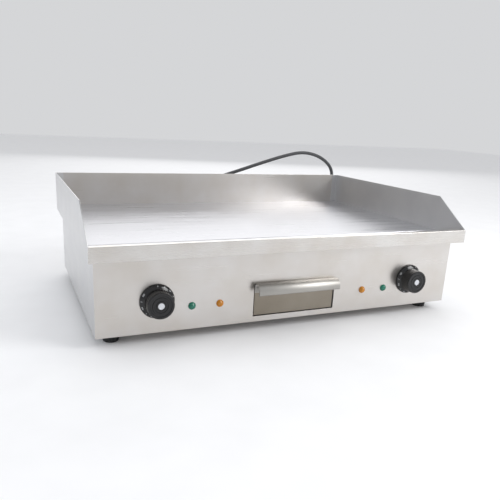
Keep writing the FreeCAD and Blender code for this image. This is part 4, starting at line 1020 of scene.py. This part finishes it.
phenolic = moulded("moulded_phenolic_black", ("#0B0B0D", "#111113"), 0.14, 3.0, 0.012, IOR=1.5)
nylon = moulded("moulded_nylon_black", ("#18181A", "#222224"), 0.42, 1.2, 0.02, IOR=1.53)
foot_rubber = moulded("moulded_rubber_black", ("#070708", "#0D0D0E"), 0.62, 1.0, 0.03, IOR=1.52)
cord_sheath = moulded("rubber_cord_sheath", ("#343538", "#3F4043"), 0.46, 1.4, 0.02, IOR=1.52)
cream_case = moulded("moulded_melamine_cream", ("#D8CDB4", "#E2D9C4"), 0.40, 1.5, 0.015, IOR=1.55)
steatite = moulded("glazed_steatite", ("#E6E1D6", "#EFEBE2"), 0.30, 2.5, 0.02, IOR=1.57)
sleeve = moulded("woven_glass_sleeve", ("#D9D3C4", "#E8E3D8"), 0.72, 0.8, 0.06, IOR=1.5)
wool = moulded("mineral_wool_slab", ("#A89F78", "#C2B98F"), 0.92, 3.0, 0.6, IOR=1.5)
dial_ink = moulded("pad_printed_ink", ("#D9DBDD", "#E6E7E8"), 0.50, 1.0, 0.005, IOR=1.5)
jewel_green = moulded("tinted_polycarbonate_green", ("#177A63", "#1F8A71"), 0.16, 4.0, 0.01, IOR=1.58,
                      Transmission_Weight=0.25)
jewel_amber = moulded("tinted_polycarbonate_amber", ("#D0841A", "#DE941F"), 0.16, 4.0, 0.01, IOR=1.58,
                      Transmission_Weight=0.25)
print("moulded finishes ready")

# %% Dress every piece
dress(front_steel, sheets["front_panel"], sheets["rear_panel"], sheets["splash_back"],
      nodes["grease_gutter"], nodes["drain_chute"], nodes["base_panel"], nodes["drawer_tray"])
dress(trim_steel, sheets["front_trim"])
dress(drawer_steel_with_painted_shade, sheets["drawer_front"])
dress(pull_steel, pull)
dress(side_steel, sheets["splash_left"], sheets["splash_right"], sheets["side_panel_left"],
      sheets["side_panel_right"])
dress(plate_steel, sheets["griddle_plate"])
dress(galvanised, *[nodes[name] for name in ("drawer_rail_left", "drawer_rail_right", "heat_shield",
                                             "heater_clamps", "lamp_clips")])
dress(zinc, rear_heads, stud, *[nodes[name] for name in (
    "foot_screws", "foot_nuts", "thermostat_screws", "plate_studs", "clamp_nuts",
    "thermostat_shaft_left", "thermostat_shaft_right")])
dress(brass, plug_pins, nodes["terminal_screws"])
dress(copper, nodes["sensing_bulb_left"], nodes["sensing_bulb_right"])
dress(heater_tube, nodes["heater_left"], nodes["heater_right"])
dress(phenolic, *knobs)
dress(dial_ink, *dial_prints)
dress(nylon, gland, nodes["gland_locknut"], nodes["lamp_bodies"])
dress(foot_rubber, *feet)
dress(cord_sheath, cord, relief, plug)
dress(cream_case, nodes["thermostat_left"], nodes["thermostat_right"])
dress(steatite, nodes["terminal_block"])
dress(sleeve, nodes["wiring_left"], nodes["wiring_right"])
dress(wool, nodes["insulation"])
dress(jewel_green, *jewels["green"])
dress(jewel_amber, *jewels["amber"])

# %% [markdown]
# ## The studio
# The machine stands on a pale matt table. Four soft boxes light it, from the front right, above,
# the left and behind, and the air around gives an even light. Brushed metal blurs what it
# reflects, so large boxes give broad gentle areas where a bare lamp would give hard glints.

# %% Table
TABLE_SIZE = 14
MOTTLE_SIZE = 80
bpy.ops.object.select_all(action="DESELECT")
bpy.ops.mesh.primitive_plane_add(size=TABLE_SIZE)
table = bpy.context.object
table.name = "pale_table"
table_finish, tree, shader = finish("pale_matt_table", "#F4F4F5", Roughness=0.8)
mottle = pattern(tree, (MOTTLE_SIZE, MOTTLE_SIZE, MOTTLE_SIZE), 2.0)
tree.links.new(mix_colours(tree, spread(tree, mottle, 0.0, 1.0), "#F3F3F4", "#F6F6F7"),
               shader.inputs["Base Color"])
dress(table_finish, table)

# %% Lights
WHITE, COOL = (1.0, 1.0, 1.0), (0.88, 0.93, 1.0)
SOFT_BOXES = {  # place, point it looks at and size in metres, power in watts, colour
    "key_box": ((1.45, -1.35, 1.35), (0, 0, 0.1), (1.0, 1.0), 22, WHITE),
    "overhead_box": ((-0.2, 0.2, 2.4), (0, 0, 0), (2.0, 1.6), 11, WHITE),
    "left_box": ((-2.4, 0.3, 1.3), (0, 0, 0.1), (1.6, 1.6), 10, COOL),
    "back_box": ((1.4, 3.2, 1.6), (0.6, 0, 1.2), (3.2, 2.0), 26, WHITE),
}
AIR_COLOUR, AIR_STRENGTH = "#F2F3F5", 0.75


def soft_box(name, place, target, size, power, colour):
    """A large area light that looks at a point."""
    bpy.ops.object.select_all(action="DESELECT")
    bpy.ops.object.light_add(type="AREA", location=place)
    light = bpy.context.object
    light.name = name
    light.data.shape = "RECTANGLE"
    light.data.size, light.data.size_y = size
    light.data.energy = power
    light.data.color = colour
    light.rotation_euler = (Vector(target) - Vector(place)).to_track_quat("-Z", "Y").to_euler()


for name, settings in SOFT_BOXES.items():
    soft_box(name, *settings)

world = bpy.data.worlds.new("studio_air")
world.use_nodes = True
bpy.context.scene.world = world
tree = world.node_tree
tree.nodes.clear()
air = add_node(tree, "ShaderNodeBackground", {"Color": linear(AIR_COLOUR), "Strength": AIR_STRENGTH})
add_node(tree, "ShaderNodeOutputWorld", {"Surface": air.outputs[0]})
bpy.context.scene.view_settings.view_transform = "Standard"
